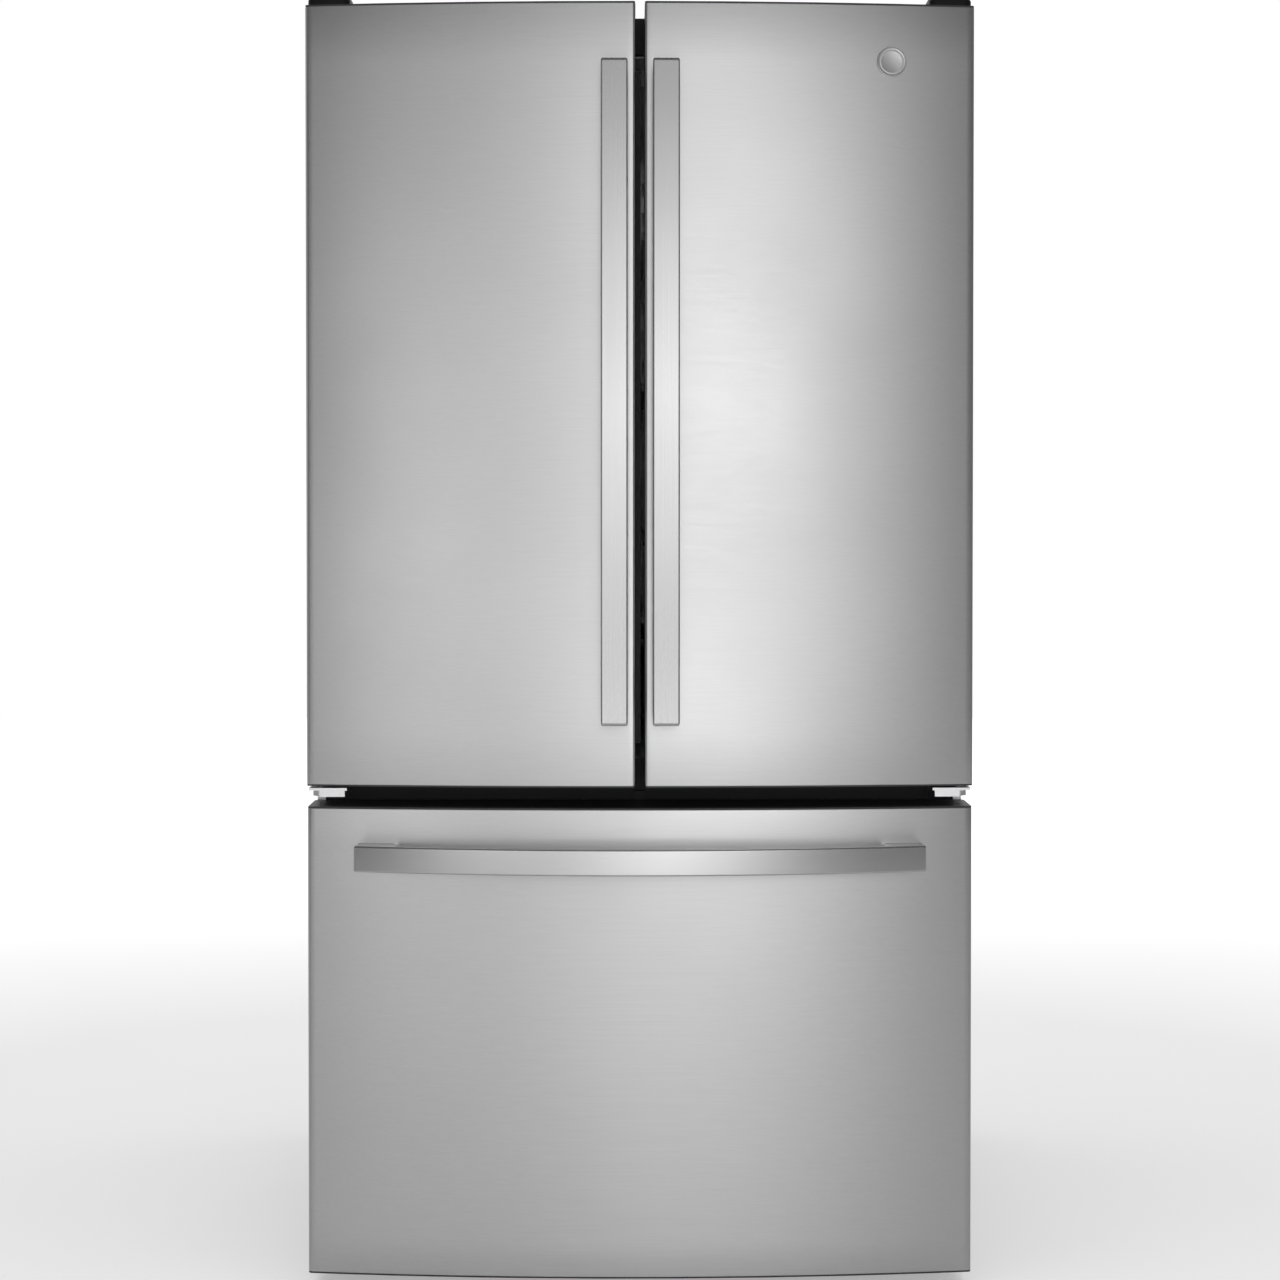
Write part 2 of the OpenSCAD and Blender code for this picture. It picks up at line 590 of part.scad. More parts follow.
// Telescopic slides: outer on the liner, middle, and inner on the drawer front
module freezer_slides() color(zinc_c) both() difference() {
  bx(393.4, 400.9, -262, 215, 430, 470);
  bx(393, 397.4, -263, 216, 434, 466);
}
module mid_slides() color(zinc_c) both() difference() {
  bx(387, 397.1, -264, 212, 434.4, 465.6);
  bx(386, 393, -265, 213, 438, 462);
  bx(393.1, 398, -265, 213, 446, 454);
}
module drawer_slides() color(zinc_c) both() union() {
  bx(378, 386.6, -268, 212, 434, 469.6);
  bx(386, 392.7, -266, 212, 438.4, 461.6);
  bx(372, 378.2, -271.8, -262, 420, 470);
  bx(372, 386.6, -271.8, -267.8, 420, 470);
}
module freezer_basket() color(white_c) {
  difference() {
    bx(-371.5, 371.5, -261.5, 205, 166, 473.5);
    bx(-368.5, 368.5, -258.5, 202, 169, 475);
    for (x = [-330 : 60 : 330]) for (z = [200, 290, 380]) bx(x - 20, x + 20, -262.5, -257.5, z, z + 60);
    for (y = [-220 : 60 : 160]) for (z = [200, 290]) bx(-373, 373, y, y + 40, z, z + 60);
  }
  both() bx(371, 386, -261.5, 205, 470, 473.5);
}
module upper_basket() color(white_c) difference() {
  bx(-385, 385, -260, 75, 474, 600);
  bx(-382, 382, -257, 72, 477, 601);
  for (x = [-340 : 56.6 : 330]) bx(x, x + 40, -261, 76, 500, 580);
  for (y = [-240 : 60 : 40]) bx(-386, 386, y, y + 42, 500, 580);
}

// ---------- sliding bins in the fresh food compartment ----------
module crisper() color(clear_c) {
  difference() {
    union() {
      bx(12, 392.5, -130, 380, 735, 893);
      bx(3, 400, -110, 380, 878.9, 882);
    }
    bx(15, 389.5, -112, 377, 738, 895);
    bx(90, 315, -131, -119, 866, 894);
  }
}
module left_crisper() mirror([1, 0, 0]) crisper();
module right_crisper() crisper();

module deli_drawer() color(clear_c) difference() {
  union() {
    bx(12, 392.5, -130, 335, 925, 1034);
    bx(5.7, 400, -110, 335, 1016.9, 1020);
  }
  bx(15, 389.5, -112, 332, 928, 1036);
  bx(90, 315, -131, -119, 1008, 1035);
}

// ---------- rollers and legs ----------
module roller(y) color([0.18, 0.18, 0.19]) both() difference() {
  xcyl(409, 431, y, 20, 20);
  xcyl(400, 440, y, 20, 4 + run_c);
  xcyl(408, 411, y, 20, 13);
  xcyl(429, 432, y, 20, 13);
}
module front_rollers() roller(-230);
module rear_rollers() roller(425);

module leg() color(zinc_c) union() {
  translate([370, -240, 0]) cylinder(r1 = 19, r2 = 21, h = 3);
  zcyl(370, -240, 3, 9, 21);
  translate([370, -240, 9]) cylinder(r = 14, h = 9, $fn = 6);
  zcyl(370, -240, 17.5, 95, 6);
}
module left_leg() mirror([1, 0, 0]) leg();
module right_leg() leg();

case_wrapper();
back_panel();
base_frame();
foam_insulation();
fridge_liner();
freezer_liner();
cross_rail();
top_hinges();
hinge_covers();
middle_hinges();
shelf_tracks();
shelf_frames();
shelf_glass();
drawer_rails();
control_panel();
light_lenses();
evaporator();
evaporator_cover();
compressor();
condenser();
drain_pan();
machine_cover();
cord_gland();
freezer_slides();
screws();
left_door_skin();
left_door_caps();
left_door_foam();
left_door_liner();
left_door_gasket();
left_door_handle();
left_door_bins();
right_door_skin();
right_door_caps();
right_door_foam();
right_door_liner();
right_door_gasket();
right_door_handle();
right_door_bins();
badge();
mullion();
drawer_skin();
drawer_caps();
drawer_foam();
drawer_liner();
drawer_gasket();
drawer_handle();
drawer_slides();
freezer_basket();
mid_slides();
upper_basket();
left_crisper();
right_crisper();
deli_drawer();
front_rollers();
rear_rollers();
condenser_fan();
evaporator_fan();
left_leg();
right_leg();
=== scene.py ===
import bpy, bmesh, math, json
from mathutils import Vector, Matrix, noise


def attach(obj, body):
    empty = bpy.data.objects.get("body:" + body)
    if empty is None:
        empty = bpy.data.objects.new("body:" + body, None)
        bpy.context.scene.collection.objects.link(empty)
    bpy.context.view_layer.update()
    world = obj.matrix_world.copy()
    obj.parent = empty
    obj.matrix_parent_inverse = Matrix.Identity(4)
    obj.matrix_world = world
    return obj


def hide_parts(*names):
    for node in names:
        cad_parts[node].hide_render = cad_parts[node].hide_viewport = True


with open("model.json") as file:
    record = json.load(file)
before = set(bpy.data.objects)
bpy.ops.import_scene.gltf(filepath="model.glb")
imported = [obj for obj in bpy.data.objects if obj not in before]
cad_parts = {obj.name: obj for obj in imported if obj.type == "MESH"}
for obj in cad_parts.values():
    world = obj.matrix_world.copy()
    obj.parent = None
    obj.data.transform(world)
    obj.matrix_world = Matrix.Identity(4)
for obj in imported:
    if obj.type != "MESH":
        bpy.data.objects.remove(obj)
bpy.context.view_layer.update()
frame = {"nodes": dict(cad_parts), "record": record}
NODES = frame["nodes"]
scene = bpy.context.scene
MM = 0.001

# ---------------------------------------------------------------- shared sizes, mm
BOW_R, BOW_C = 3830.0, 3430.5
REAR = -297.5


def bow(x, inset=0.0):
    return BOW_C - math.sqrt((BOW_R - inset) ** 2 - x * x)


# ---------------------------------------------------------------- materials
class Mat:
    def __init__(self, name):
        self.m = bpy.data.materials.new(name)
        self.m.use_nodes = True
        self.nt = self.m.node_tree
        self.nt.nodes.clear()
        self.out = self.nt.nodes.new("ShaderNodeOutputMaterial")
        self.b = self.nt.nodes.new("ShaderNodeBsdfPrincipled")
        self.nt.links.new(self.b.outputs["BSDF"], self.out.inputs["Surface"])
        self.tc = self.nt.nodes.new("ShaderNodeTexCoord")
        self.h = None

    def node(self, kind, **props):
        n = self.nt.nodes.new(kind)
        for k, v in props.items():
            setattr(n, k, v)
        return n

    def link(self, a, b):
        self.nt.links.new(a, b)

    def put(self, **sockets):
        names = {
            "base": "Base Color", "rough": "Roughness", "metal": "Metallic", "ior": "IOR",
            "aniso": "Anisotropic", "spec": "Specular IOR Level", "trans": "Transmission Weight",
            "coat": "Coat Weight", "coatr": "Coat Roughness", "sheen": "Sheen Weight",
            "alpha": "Alpha", "sub": "Subsurface Weight", "emit": "Emission Color", "emits": "Emission Strength",
        }
        for k, v in sockets.items():
            s = self.b.inputs[names[k]]
            if isinstance(v, bpy.types.NodeSocket):
                self.link(v, s)
            elif isinstance(v, (tuple, list)):
                s.default_value = (*v, 1.0) if len(v) == 3 else v
            else:
                s.default_value = v
        return self

    def coords(self, scale=(1, 1, 1), rot=(0, 0, 0)):
        mp = self.node("ShaderNodeMapping")
        mp.inputs["Scale"].default_value = scale
        mp.inputs["Rotation"].default_value = rot
        self.link(self.tc.outputs["Object"], mp.inputs["Vector"])
        return mp.outputs["Vector"]

    def noise(self, scale, detail=3.0, rough=0.55, vec=None, dist=0.0):
        n = self.node("ShaderNodeTexNoise")
        n.inputs["Scale"].default_value = scale
        n.inputs["Detail"].default_value = detail
        n.inputs["Roughness"].default_value = rough
        n.inputs["Distortion"].default_value = dist
        self.link(vec if vec is not None else self.tc.outputs["Object"], n.inputs["Vector"])
        return n.outputs["Fac"]

    def voronoi(self, scale, vec=None, feature="F1", out="Distance"):
        n = self.node("ShaderNodeTexVoronoi", feature=feature)
        n.inputs["Scale"].default_value = scale
        self.link(vec if vec is not None else self.tc.outputs["Object"], n.inputs["Vector"])
        return n.outputs[out]

    def span(self, fac, lo, hi, a=0.3, b=0.7):
        n = self.node("ShaderNodeMapRange")
        n.inputs["From Min"].default_value = a
        n.inputs["From Max"].default_value = b
        n.inputs["To Min"].default_value = lo
        n.inputs["To Max"].default_value = hi
        self.link(fac, n.inputs["Value"])
        return n.outputs["Result"]

    def ramp(self, fac, stops):
        n = self.node("ShaderNodeValToRGB")
        cr = n.color_ramp
        while len(cr.elements) > 1:
            cr.elements.remove(cr.elements[-1])
        for i, (p, c) in enumerate(stops):
            e = cr.elements[0] if i == 0 else cr.elements.new(p)
            e.position = p
            e.color = (*c, 1.0) if len(c) == 3 else c
        self.link(fac, n.inputs["Fac"])
        return n.outputs["Color"]

    def mix(self, fac, a, b, blend="MIX"):
        n = self.node("ShaderNodeMix", data_type="RGBA", blend_type=blend)
        for s, v in (("Factor", fac),):
            if isinstance(v, bpy.types.NodeSocket):
                self.link(v, n.inputs[0])
            else:
                n.inputs[0].default_value = v
        for idx, v in ((6, a), (7, b)):
            if isinstance(v, bpy.types.NodeSocket):
                self.link(v, n.inputs[idx])
            else:
                n.inputs[idx].default_value = (*v, 1.0)
        return n.outputs[2]

    def math(self, op, a, b=0.0, clamp=False):
        n = self.node("ShaderNodeMath", operation=op, use_clamp=clamp)
        for i, v in enumerate((a, b)):
            if isinstance(v, bpy.types.NodeSocket):
                self.link(v, n.inputs[i])
            else:
                n.inputs[i].default_value = v
        return n.outputs[0]

    def bump(self, height, strength, dist):
        n = self.node("ShaderNodeBump")
        n.inputs["Strength"].default_value = strength
        n.inputs["Distance"].default_value = dist
        self.link(height, n.inputs["Height"])
        if self.h is not None:
            self.link(self.h, n.inputs["Normal"])
        self.h = n.outputs["Normal"]
        self.link(self.h, self.b.inputs["Normal"])
        return self

    def edge(self, radius):
        """1 on an edge, 0 on a flat; it masks painted edge highlights on metal and plastic, and rubbed paint on painted
        parts.
        """
        bv = self.node("ShaderNodeBevel", samples=4)
        bv.inputs["Radius"].default_value = radius
        ge = self.node("ShaderNodeNewGeometry")
        dp = self.node("ShaderNodeVectorMath", operation="DOT_PRODUCT")
        self.link(bv.outputs["Normal"], dp.inputs[0])
        self.link(ge.outputs["Normal"], dp.inputs[1])
        return self.span(dp.outputs["Value"], 1.0, 0.0, 0.80, 0.995)

    def tangent(self, axis="Z"):
        t = self.node("ShaderNodeTangent", direction_type="RADIAL", axis=axis)
        self.link(t.outputs["Tangent"], self.b.inputs["Tangent"])
        return self


def brushed(name, lo, hi, rough, axis, aniso, fine=1.0, bump=0.05, tangent_axis=None, rot=0.0):
    """Brushed metal: fine scratches along one axis, broader streaks, faint clouding, and a painted highlight that
    lightens the edges.
    """
    m = Mat(name)
    long_, short = 5.0, 900.0 * fine
    sc = {"X": (long_, short, short), "Y": (short, long_, short), "Z": (short, short, long_)}[axis]
    sm = {"X": (1.4, 330, 330), "Y": (330, 1.4, 330), "Z": (420, 420, 0.25)}[axis]
    g1 = m.noise(1.0, 4.0, 0.65, m.coords(sc))
    g2 = m.noise(1.0, 3.0, 0.6, m.coords(sm))
    cloud = m.noise(3.2, 2.0, 0.5)
    g = m.math("ADD", m.math("MULTIPLY", g1, 0.68), m.math("MULTIPLY", g2, 0.32))
    col = m.ramp(g, [(0.30, lo), (0.5, tuple((a + b) / 2 for a, b in zip(lo, hi))), (0.72, hi)])
    col = m.mix(m.span(cloud, 0.0, 0.10), col, tuple(c * 0.86 for c in lo))
    # painted highlight: every edge is lightened in colour towards a brighter steel
    col = m.mix(m.math("MULTIPLY", m.edge(0.0012), 0.55), col, tuple(min(1, c * 1.12) for c in hi))
    r = m.math("ADD", m.span(g, rough * 0.90, rough * 1.12), m.span(cloud, -0.02, 0.02))
    m.put(base=col, rough=r, metal=1.0, aniso=aniso)
    m.b.inputs["Anisotropic Rotation"].default_value = rot
    m.bump(g, bump, 0.0004)
    if tangent_axis:
        m.tangent(tangent_axis)
    return m.m


def paint(name, col, rough, peel=0.12, speck=0.05, metal=0.0, coat=0.0, wear=None):
    """Powder coat: orange peel, slight tone drift, rubbed edges."""
    m = Mat(name)
    a = m.noise(900.0, 2.0, 0.5)
    c = m.noise(6.0, 4.0, 0.6)
    base = m.mix(m.span(c, 0.0, 1.0), tuple(x * (1 - speck) for x in col), tuple(min(1, x * (1 + speck)) for x in col))
    if wear:
        base = m.mix(m.math("MULTIPLY", m.edge(0.0010), m.span(m.noise(60.0, 3.0), 0.1, 0.7)), base, wear)
    m.put(base=base, rough=m.math("ADD", m.span(a, -0.03, 0.03), m.span(c, rough * 0.92, rough * 1.08)), metal=metal, coat=coat)
    if coat:
        m.b.inputs["Coat Roughness"].default_value = 0.12
    m.bump(a, peel, 0.0003)
    return m.m


def plastic(name, col, rough, grain=1400.0, bump=0.10, spread=0.04, sub=0.0, spec=0.5):
    """Moulded plastic: spark-eroded grain, flow marks, and a painted highlight that lightens the edges."""
    m = Mat(name)
    g = m.voronoi(grain)
    a = m.noise(grain * 0.6, 3.0, 0.6)
    flow = m.noise(4.0, 3.0, 0.5, m.coords((1.0, 1.0, 0.35)))
    base = m.mix(m.span(flow, 0.0, 1.0), tuple(x * (1 - spread) for x in col), tuple(min(1, x * (1 + spread)) for x in col))
    # painted highlight: the edges are lightened in colour
    base = m.mix(m.math("MULTIPLY", m.edge(0.0008), 0.25), base, tuple(min(1, x * 1.15 + 0.02) for x in col))
    m.put(base=base, rough=m.math("ADD", m.span(a, -0.04, 0.04), m.span(flow, rough * 0.94, rough * 1.06)), spec=spec)
    if sub:
        m.b.inputs["Subsurface Weight"].default_value = sub
        m.b.inputs["Subsurface Radius"].default_value = (0.004, 0.004, 0.004)
        m.b.inputs["Subsurface Scale"].default_value = 1.0
    m.bump(m.math("ADD", m.math("MULTIPLY", g, 0.6), m.math("MULTIPLY", a, 0.4)), bump, 0.0003)
    return m.m


STEEL_LO, STEEL_HI = (0.595, 0.595, 0.595), (0.655, 0.655, 0.657)
MATS = {}
MATS["stainless"] = brushed("stainless_h", STEEL_LO, STEEL_HI, 0.32, "X", 0.80, bump=0.035, tangent_axis="Z", rot=0.25)
# painted shade: the door handles get a darker tone than the same stainless steel on the doors and drawer handle
MATS["handle_v_shaded"] = brushed("handle_steel_v_shaded", (0.495, 0.495, 0.495), (0.540, 0.540, 0.540), 0.28, "Z", 0.75, bump=0.008, tangent_axis="Z")
MATS["handle_h"] = brushed("handle_steel_h", (0.58, 0.58, 0.58), (0.64, 0.64, 0.64), 0.24, "X", 0.60, bump=0.01, tangent_axis="Z", rot=0.25)
MATS["case_paint"] = paint("case_paint", (0.010, 0.010, 0.0105), 0.42, 0.30, 0.06, wear=(0.04, 0.04, 0.04))
for n in MATS["case_paint"].node_tree.nodes:
    if n.type == "BSDF_PRINCIPLED":
        n.inputs["Specular IOR Level"].default_value = 0.2
MATS["frame_steel"] = paint("frame_steel", (0.045, 0.045, 0.047), 0.5, 0.2, 0.08, wear=(0.25, 0.25, 0.25))
MATS["liner_white"] = plastic("liner_white", (0.80, 0.81, 0.82), 0.30, 500.0, 0.05, 0.015)
MATS["panel_plastic"] = plastic("panel_plastic", (0.74, 0.75, 0.76), 0.34, 900.0, 0.08, 0.02)
MATS["black_plastic"] = plastic("black_plastic", (0.0055, 0.0055, 0.0060), 0.40, 1500.0, 0.16, 0.10, spec=0.28)
MATS["dark_plastic"] = plastic("dark_plastic", (0.040, 0.040, 0.043), 0.45, 1500.0, 0.22, 0.08)
MATS["roller"] = plastic("roller", (0.10, 0.10, 0.105), 0.5, 1200.0, 0.25, 0.10)
MATS["compressor_paint"] = paint("compressor_paint", (0.018, 0.018, 0.019), 0.30, 0.35, 0.05, wear=(0.10, 0.10, 0.10))


def metal_cloud(name, lo, hi, rough, scale=9.0, bump=0.06, spangle=0.0):
    m = Mat(name)
    c = m.noise(scale, 4.0, 0.6)
    f = m.noise(700.0, 3.0, 0.6)
    base = m.ramp(c, [(0.3, lo), (0.7, hi)])
    if spangle:
        v = m.voronoi(spangle, feature="F1", out="Color")
        bw = m.node("ShaderNodeRGBToBW")
        m.link(v, bw.inputs[0])
        base = m.mix(m.math("MULTIPLY", bw.outputs[0], 0.5), base, tuple(x * 0.72 for x in lo))
    # painted highlight: the edges are lightened in colour
    base = m.mix(m.math("MULTIPLY", m.edge(0.0010), 0.5), base, tuple(min(1, x * 1.15) for x in hi))
    m.put(base=base, metal=1.0, rough=m.math("ADD", m.span(c, rough * 0.85, rough * 1.15), m.span(f, -0.04, 0.04)))
    m.bump(f, bump, 0.0003)
    return m.m


MATS["zinc"] = metal_cloud("zinc", (0.70, 0.70, 0.71), (0.84, 0.84, 0.85), 0.34)
MATS["back_steel"] = metal_cloud("back_steel", (0.50, 0.51, 0.52), (0.62, 0.63, 0.64), 0.42, 5.0, 0.08, 55.0)
MATS["aluminium"] = metal_cloud("aluminium", (0.72, 0.72, 0.73), (0.82, 0.82, 0.83), 0.33, 30.0, 0.10)
MATS["basket_wire"] = paint("basket_wire", (0.78, 0.79, 0.80), 0.30, 0.08, 0.02)


def foam():
    m = Mat("foam")
    cell = m.voronoi(420.0)
    c = m.noise(12.0, 4.0, 0.6)
    m.put(base=m.ramp(c, [(0.3, (0.66, 0.58, 0.36)), (0.7, (0.78, 0.70, 0.48))]), rough=0.9)
    m.b.inputs["Roughness"].default_value = 0.9
    m.bump(cell, 0.5, 0.0008)
    return m.m


MATS["foam"] = foam()


def seal():
    m = Mat("seal")
    c = m.noise(10.0, 3.0, 0.6)
    f = m.noise(900.0, 2.0, 0.6)
    m.put(base=m.ramp(c, [(0.3, (0.030, 0.030, 0.032)), (0.7, (0.048, 0.048, 0.050))]), rough=m.span(f, 0.50, 0.62))
    m.bump(f, 0.15, 0.0003)
    return m.m


MATS["seal"] = seal()


def glass():
    m = Mat("glass")
    c = m.noise(2.5, 2.0, 0.5)
    f = m.noise(40.0, 3.0, 0.6)
    m.put(base=m.ramp(c, [(0.3, (0.90, 0.955, 0.94)), (0.7, (0.93, 0.97, 0.96))]), rough=m.span(f, 0.01, 0.05), trans=1.0, ior=1.5)
    m.bump(c, 0.02, 0.0005)
    return m.m


MATS["glass"] = glass()


def clear_plastic():
    m = Mat("clear_plastic")
    c = m.noise(5.0, 3.0, 0.5, m.coords((1, 1, 0.4)))
    f = m.noise(700.0, 2.0, 0.6)
    m.put(base=m.ramp(c, [(0.3, (0.90, 0.94, 0.96)), (0.7, (0.95, 0.975, 0.985))]), rough=m.math("ADD", m.span(c, 0.06, 0.14), m.span(f, -0.02, 0.02)), trans=0.88, ior=1.45)
    m.bump(f, 0.05, 0.0002)
    return m.m


MATS["clear_plastic"] = clear_plastic()


def lens():
    m = Mat("lens")
    pr = m.voronoi(260.0)
    c = m.noise(20.0, 2.0, 0.5)
    m.put(base=m.ramp(c, [(0.3, (0.90, 0.91, 0.92)), (0.7, (0.95, 0.96, 0.97))]), rough=m.span(pr, 0.18, 0.30, 0.0, 0.6))
    m.put(emit=(1.0, 0.98, 0.94), emits=0.9)
    m.bump(pr, 0.3, 0.0006)
    return m.m


MATS["lens"] = lens()


def badge_metal():
    """Spun metal: rings round the badge's own axis."""
    m = Mat("badge_metal")
    mp = m.node("ShaderNodeMapping")
    mp.inputs["Location"].default_value = (-0.340, 0.0, -1.673)
    m.link(m.tc.outputs["Object"], mp.inputs["Vector"])
    flat = m.node("ShaderNodeVectorMath", operation="MULTIPLY")
    flat.inputs[1].default_value = (1.0, 0.0, 1.0)
    m.link(mp.outputs["Vector"], flat.inputs[0])
    ln = m.node("ShaderNodeVectorMath", operation="LENGTH")
    m.link(flat.outputs["Vector"], ln.inputs[0])
    rings = m.node("ShaderNodeTexNoise", noise_dimensions="1D")
    rings.inputs["Scale"].default_value = 2600.0
    rings.inputs["Detail"].default_value = 3.0
    m.link(ln.outputs["Value"], rings.inputs["W"])
    g = rings.outputs["Fac"]
    m.put(base=m.ramp(g, [(0.3, (0.56, 0.56, 0.57)), (0.7, (0.66, 0.66, 0.67))]), rough=m.span(g, 0.34, 0.44), metal=1.0, aniso=0.2)
    m.bump(g, 0.12, 0.0002)
    return m.m


MATS["badge_metal"] = badge_metal()
MATS["handle_steel"] = MATS["handle_v_shaded"]


# ---------------------------------------------------------------- mesh helpers
def finish_mesh(name, verts, faces, body, mat, replaces=(), smooth=30.0, weld=1e-6, scale=MM):
    me = bpy.data.meshes.new(name)
    me.from_pydata([tuple(c * scale for c in v) for v in verts], [], faces)
    me.update()
    bm = bmesh.new()
    bm.from_mesh(me)
    bmesh.ops.remove_doubles(bm, verts=bm.verts, dist=weld)
    bmesh.ops.recalc_face_normals(bm, faces=bm.faces)
    bm.to_mesh(me)
    bm.free()
    ob = bpy.data.objects.new(name, me)
    scene.collection.objects.link(ob)
    me.materials.append(MATS[mat])
    if smooth:
        me.polygons.foreach_set("use_smooth", [True] * len(me.polygons))
        me.set_sharp_from_angle(angle=math.radians(smooth))
    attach(ob, body)
    if replaces:
        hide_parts(*replaces)
    return ob


class Build:
    """Collects verts and faces of one piece, in mm."""

    def __init__(self):
        self.v, self.f = [], []

    def add(self, verts, faces):
        k = len(self.v)
        self.v += [tuple(v) for v in verts]
        self.f += [tuple(i + k for i in f) for f in faces]
        return self

    def loft(self, rings, closed_ring=True, cap0=True, cap1=True, closed_path=False):
        n = len(rings[0])
        verts = [p for r in rings for p in r]
        faces = []
        m = len(rings)
        for j in range(m if closed_path else m - 1):
            a, b = j * n, ((j + 1) % m) * n
            for i in range(n if closed_ring else n - 1):
                i2 = (i + 1) % n
                faces.append((a + i, a + i2, b + i2, b + i))
        if not closed_path:
            if cap0:
                faces.append(tuple(range(n))[::-1])
            if cap1:
                faces.append(tuple((m - 1) * n + i for i in range(n)))
        return self.add(verts, faces)

    def bar(self, x0, x1, y0, y1, z0, z1, r=1.0, seg=3):
        """Block with every edge rounded."""
        bm = bmesh.new()
        bmesh.ops.create_cube(bm, size=1.0)
        for v in bm.verts:
            v.co = Vector((x0 if v.co.x < 0 else x1, y0 if v.co.y < 0 else y1, z0 if v.co.z < 0 else z1))
        r = min(r, 0.49 * min(x1 - x0, y1 - y0, z1 - z0))
        if r > 0:
            bmesh.ops.bevel(bm, geom=bm.edges[:], offset=r, segments=seg, profile=0.5, affect="EDGES")
        bm.verts.index_update()
        self.add([v.co[:] for v in bm.verts], [[v.index for v in f.verts] for f in bm.faces])
        bm.free()
        return self

    def lathe(self, centre, axis, prof, seg=48):
        """prof: (radius, height along the axis) pairs; closed when it begins and ends on the axis."""
        axis = Vector(axis).normalized()
        u = axis.orthogonal().normalized()
        w = axis.cross(u)
        c = Vector(centre)
        rings = [[tuple(c + axis * h + (u * math.cos(a) + w * math.sin(a)) * max(r, 1e-4))
                  for a in [2 * math.pi * k / seg for k in range(seg)]] for r, h in prof]
        return self.loft(rings)

    def tube(self, pts, r, seg=8, closed=False):
        """Round wire along a path."""
        P = [Vector(p) for p in pts]
        rings = []
        prev = None
        n = len(P)
        for i, p in enumerate(P):
            if closed:
                t = (P[(i + 1) % n] - P[i - 1]).normalized()
            else:
                t = (P[min(i + 1, n - 1)] - P[max(i - 1, 0)]).normalized()
            if prev is None:
                u = t.orthogonal().normalized()
            else:
                u = (prev - t * prev.dot(t)).normalized()
            prev = u
            w = t.cross(u)
            rings.append([tuple(p + (u * math.cos(a) + w * math.sin(a)) * r) for a in [2 * math.pi * k / seg for k in range(seg)]])
        return self.loft(rings, closed_path=closed)

    def done(self, name, body, mat, replaces=(), smooth=30.0):
        return finish_mesh(name, self.v, self.f, body, mat, replaces, smooth)


def rrect(x0, x1, y0, y1, r, seg=6):
    """Rounded rectangle as (a, b) points, counter-clockwise."""
    r = max(0.01, min(r, 0.499 * min(x1 - x0, y1 - y0)))
    out = []
    for cx, cy, a0 in ((x1 - r, y0 + r, -90), (x1 - r, y1 - r, 0), (x0 + r, y1 - r, 90), (x0 + r, y0 + r, 180)):
        for k in range(seg + 1):
            a = math.radians(a0 + 90.0 * k / seg)
            out.append((cx + r * math.cos(a), cy + r * math.sin(a)))
    return out


def tub(b, x0, x1, y0, y1, z0, z1, wall=2.2, r=14.0, rb=8.0, lip=3.0, liph=3.0, taper=0.0):
    """Open moulded tub with rounded corners, a rounded floor and a rolled rim; outer size is x0..x1, y0..y1, z0..z1."""
    rings = []

    def ring(d, z):
        rr = max(0.6, r - d)
        return [(x, y, z) for x, y in rrect(x0 + d, x1 - d, y0 + d, y1 - d, rr)]

    o = lip
    # outside, from the middle of the floor up to the rim
    outer = []
    for k in range(5):
        a = math.radians(90.0 * k / 4)
        outer.append((o + taper + rb * (1 - math.sin(a)), z0 + rb * (1 - math.cos(a))))
    outer.append((o + taper * 0.15, z1 - liph - 1.0))
    outer += [(o - 0.5 if o > 0.6 else o, z1 - liph), (0.0, z1 - liph), (0.0, z1 - 0.8), (0.6, z1)]
    inner = [(o + wall - 0.4, z1), (o + wall, z1 - 0.6)]
    for k in range(4, -1, -1):
        a = math.radians(90.0 * k / 4)
        inner.append((o + taper + wall + rb * (1 - math.sin(a)), z0 + wall + rb * (1 - math.cos(a))))
    rings = [ring(d, z) for d, z in outer] + [ring(d, z) for d, z in inner]
    b.loft(rings)


def ring_sweep(b, x0, x1, z0, z1, r, section, seg=8):
    """Closed frame in the XZ plane; section: (distance inward, y) points, closed."""
    base = rrect(x0, x1, z0, z1, r, seg)
    n = len(base)
    # inward offset of a rounded rectangle: the same parametrisation with a smaller radius
    cols = []
    for d, y in section:
        rr = r - d
        if rr > 0.2:
            pts = rrect(x0 + d, x1 - d, z0 + d, z1 - d, rr, seg)
        else:
            pts = rrect(x0 + d, x1 - d, z0 + d, z1 - d, 0.2, seg)
        cols.append([(x, y, z) for x, z in pts])
    rings = [[cols[k][i] for k in range(len(section))] for i in range(n)]
    b.loft(rings, closed_path=True)


# ---------------------------------------------------------------- door and drawer skins
def wrap_line(x0, x1, r0, r1, inset=0.0, n=72):
    """Outer line of a wrapped skin, rear corner to rear corner, with rounded front corners."""
    P = [(x0, REAR), (x0, REAR + (bow(x0) - REAR) * 0.5)]
    c0 = (x0 + r0, BOW_C - math.sqrt((BOW_R - r0) ** 2 - (x0 + r0) ** 2))
    a_end = math.atan2(c0[1] - BOW_C, c0[0])
    for k in range(9):
        a = -math.pi + (a_end + math.pi) * k / 8
        P.append((c0[0] + r0 * math.cos(a), c0[1] + r0 * math.sin(a)))
    c1 = (x1 - r1, BOW_C - math.sqrt((BOW_R - r1) ** 2 - (x1 - r1) ** 2))
    b_start = math.atan2(c1[1] - BOW_C, c1[0])
    for k in range(1, n):
        a = a_end + (b_start - a_end) * k / n
        P.append((BOW_R * math.cos(a), BOW_C + BOW_R * math.sin(a)))
    for k in range(9):
        a = b_start + (0 - b_start) * k / 8
        P.append((c1[0] + r1 * math.cos(a), c1[1] + r1 * math.sin(a)))
    P += [(x1, REAR + (bow(x1) - REAR) * 0.5), (x1, REAR)]
    return P


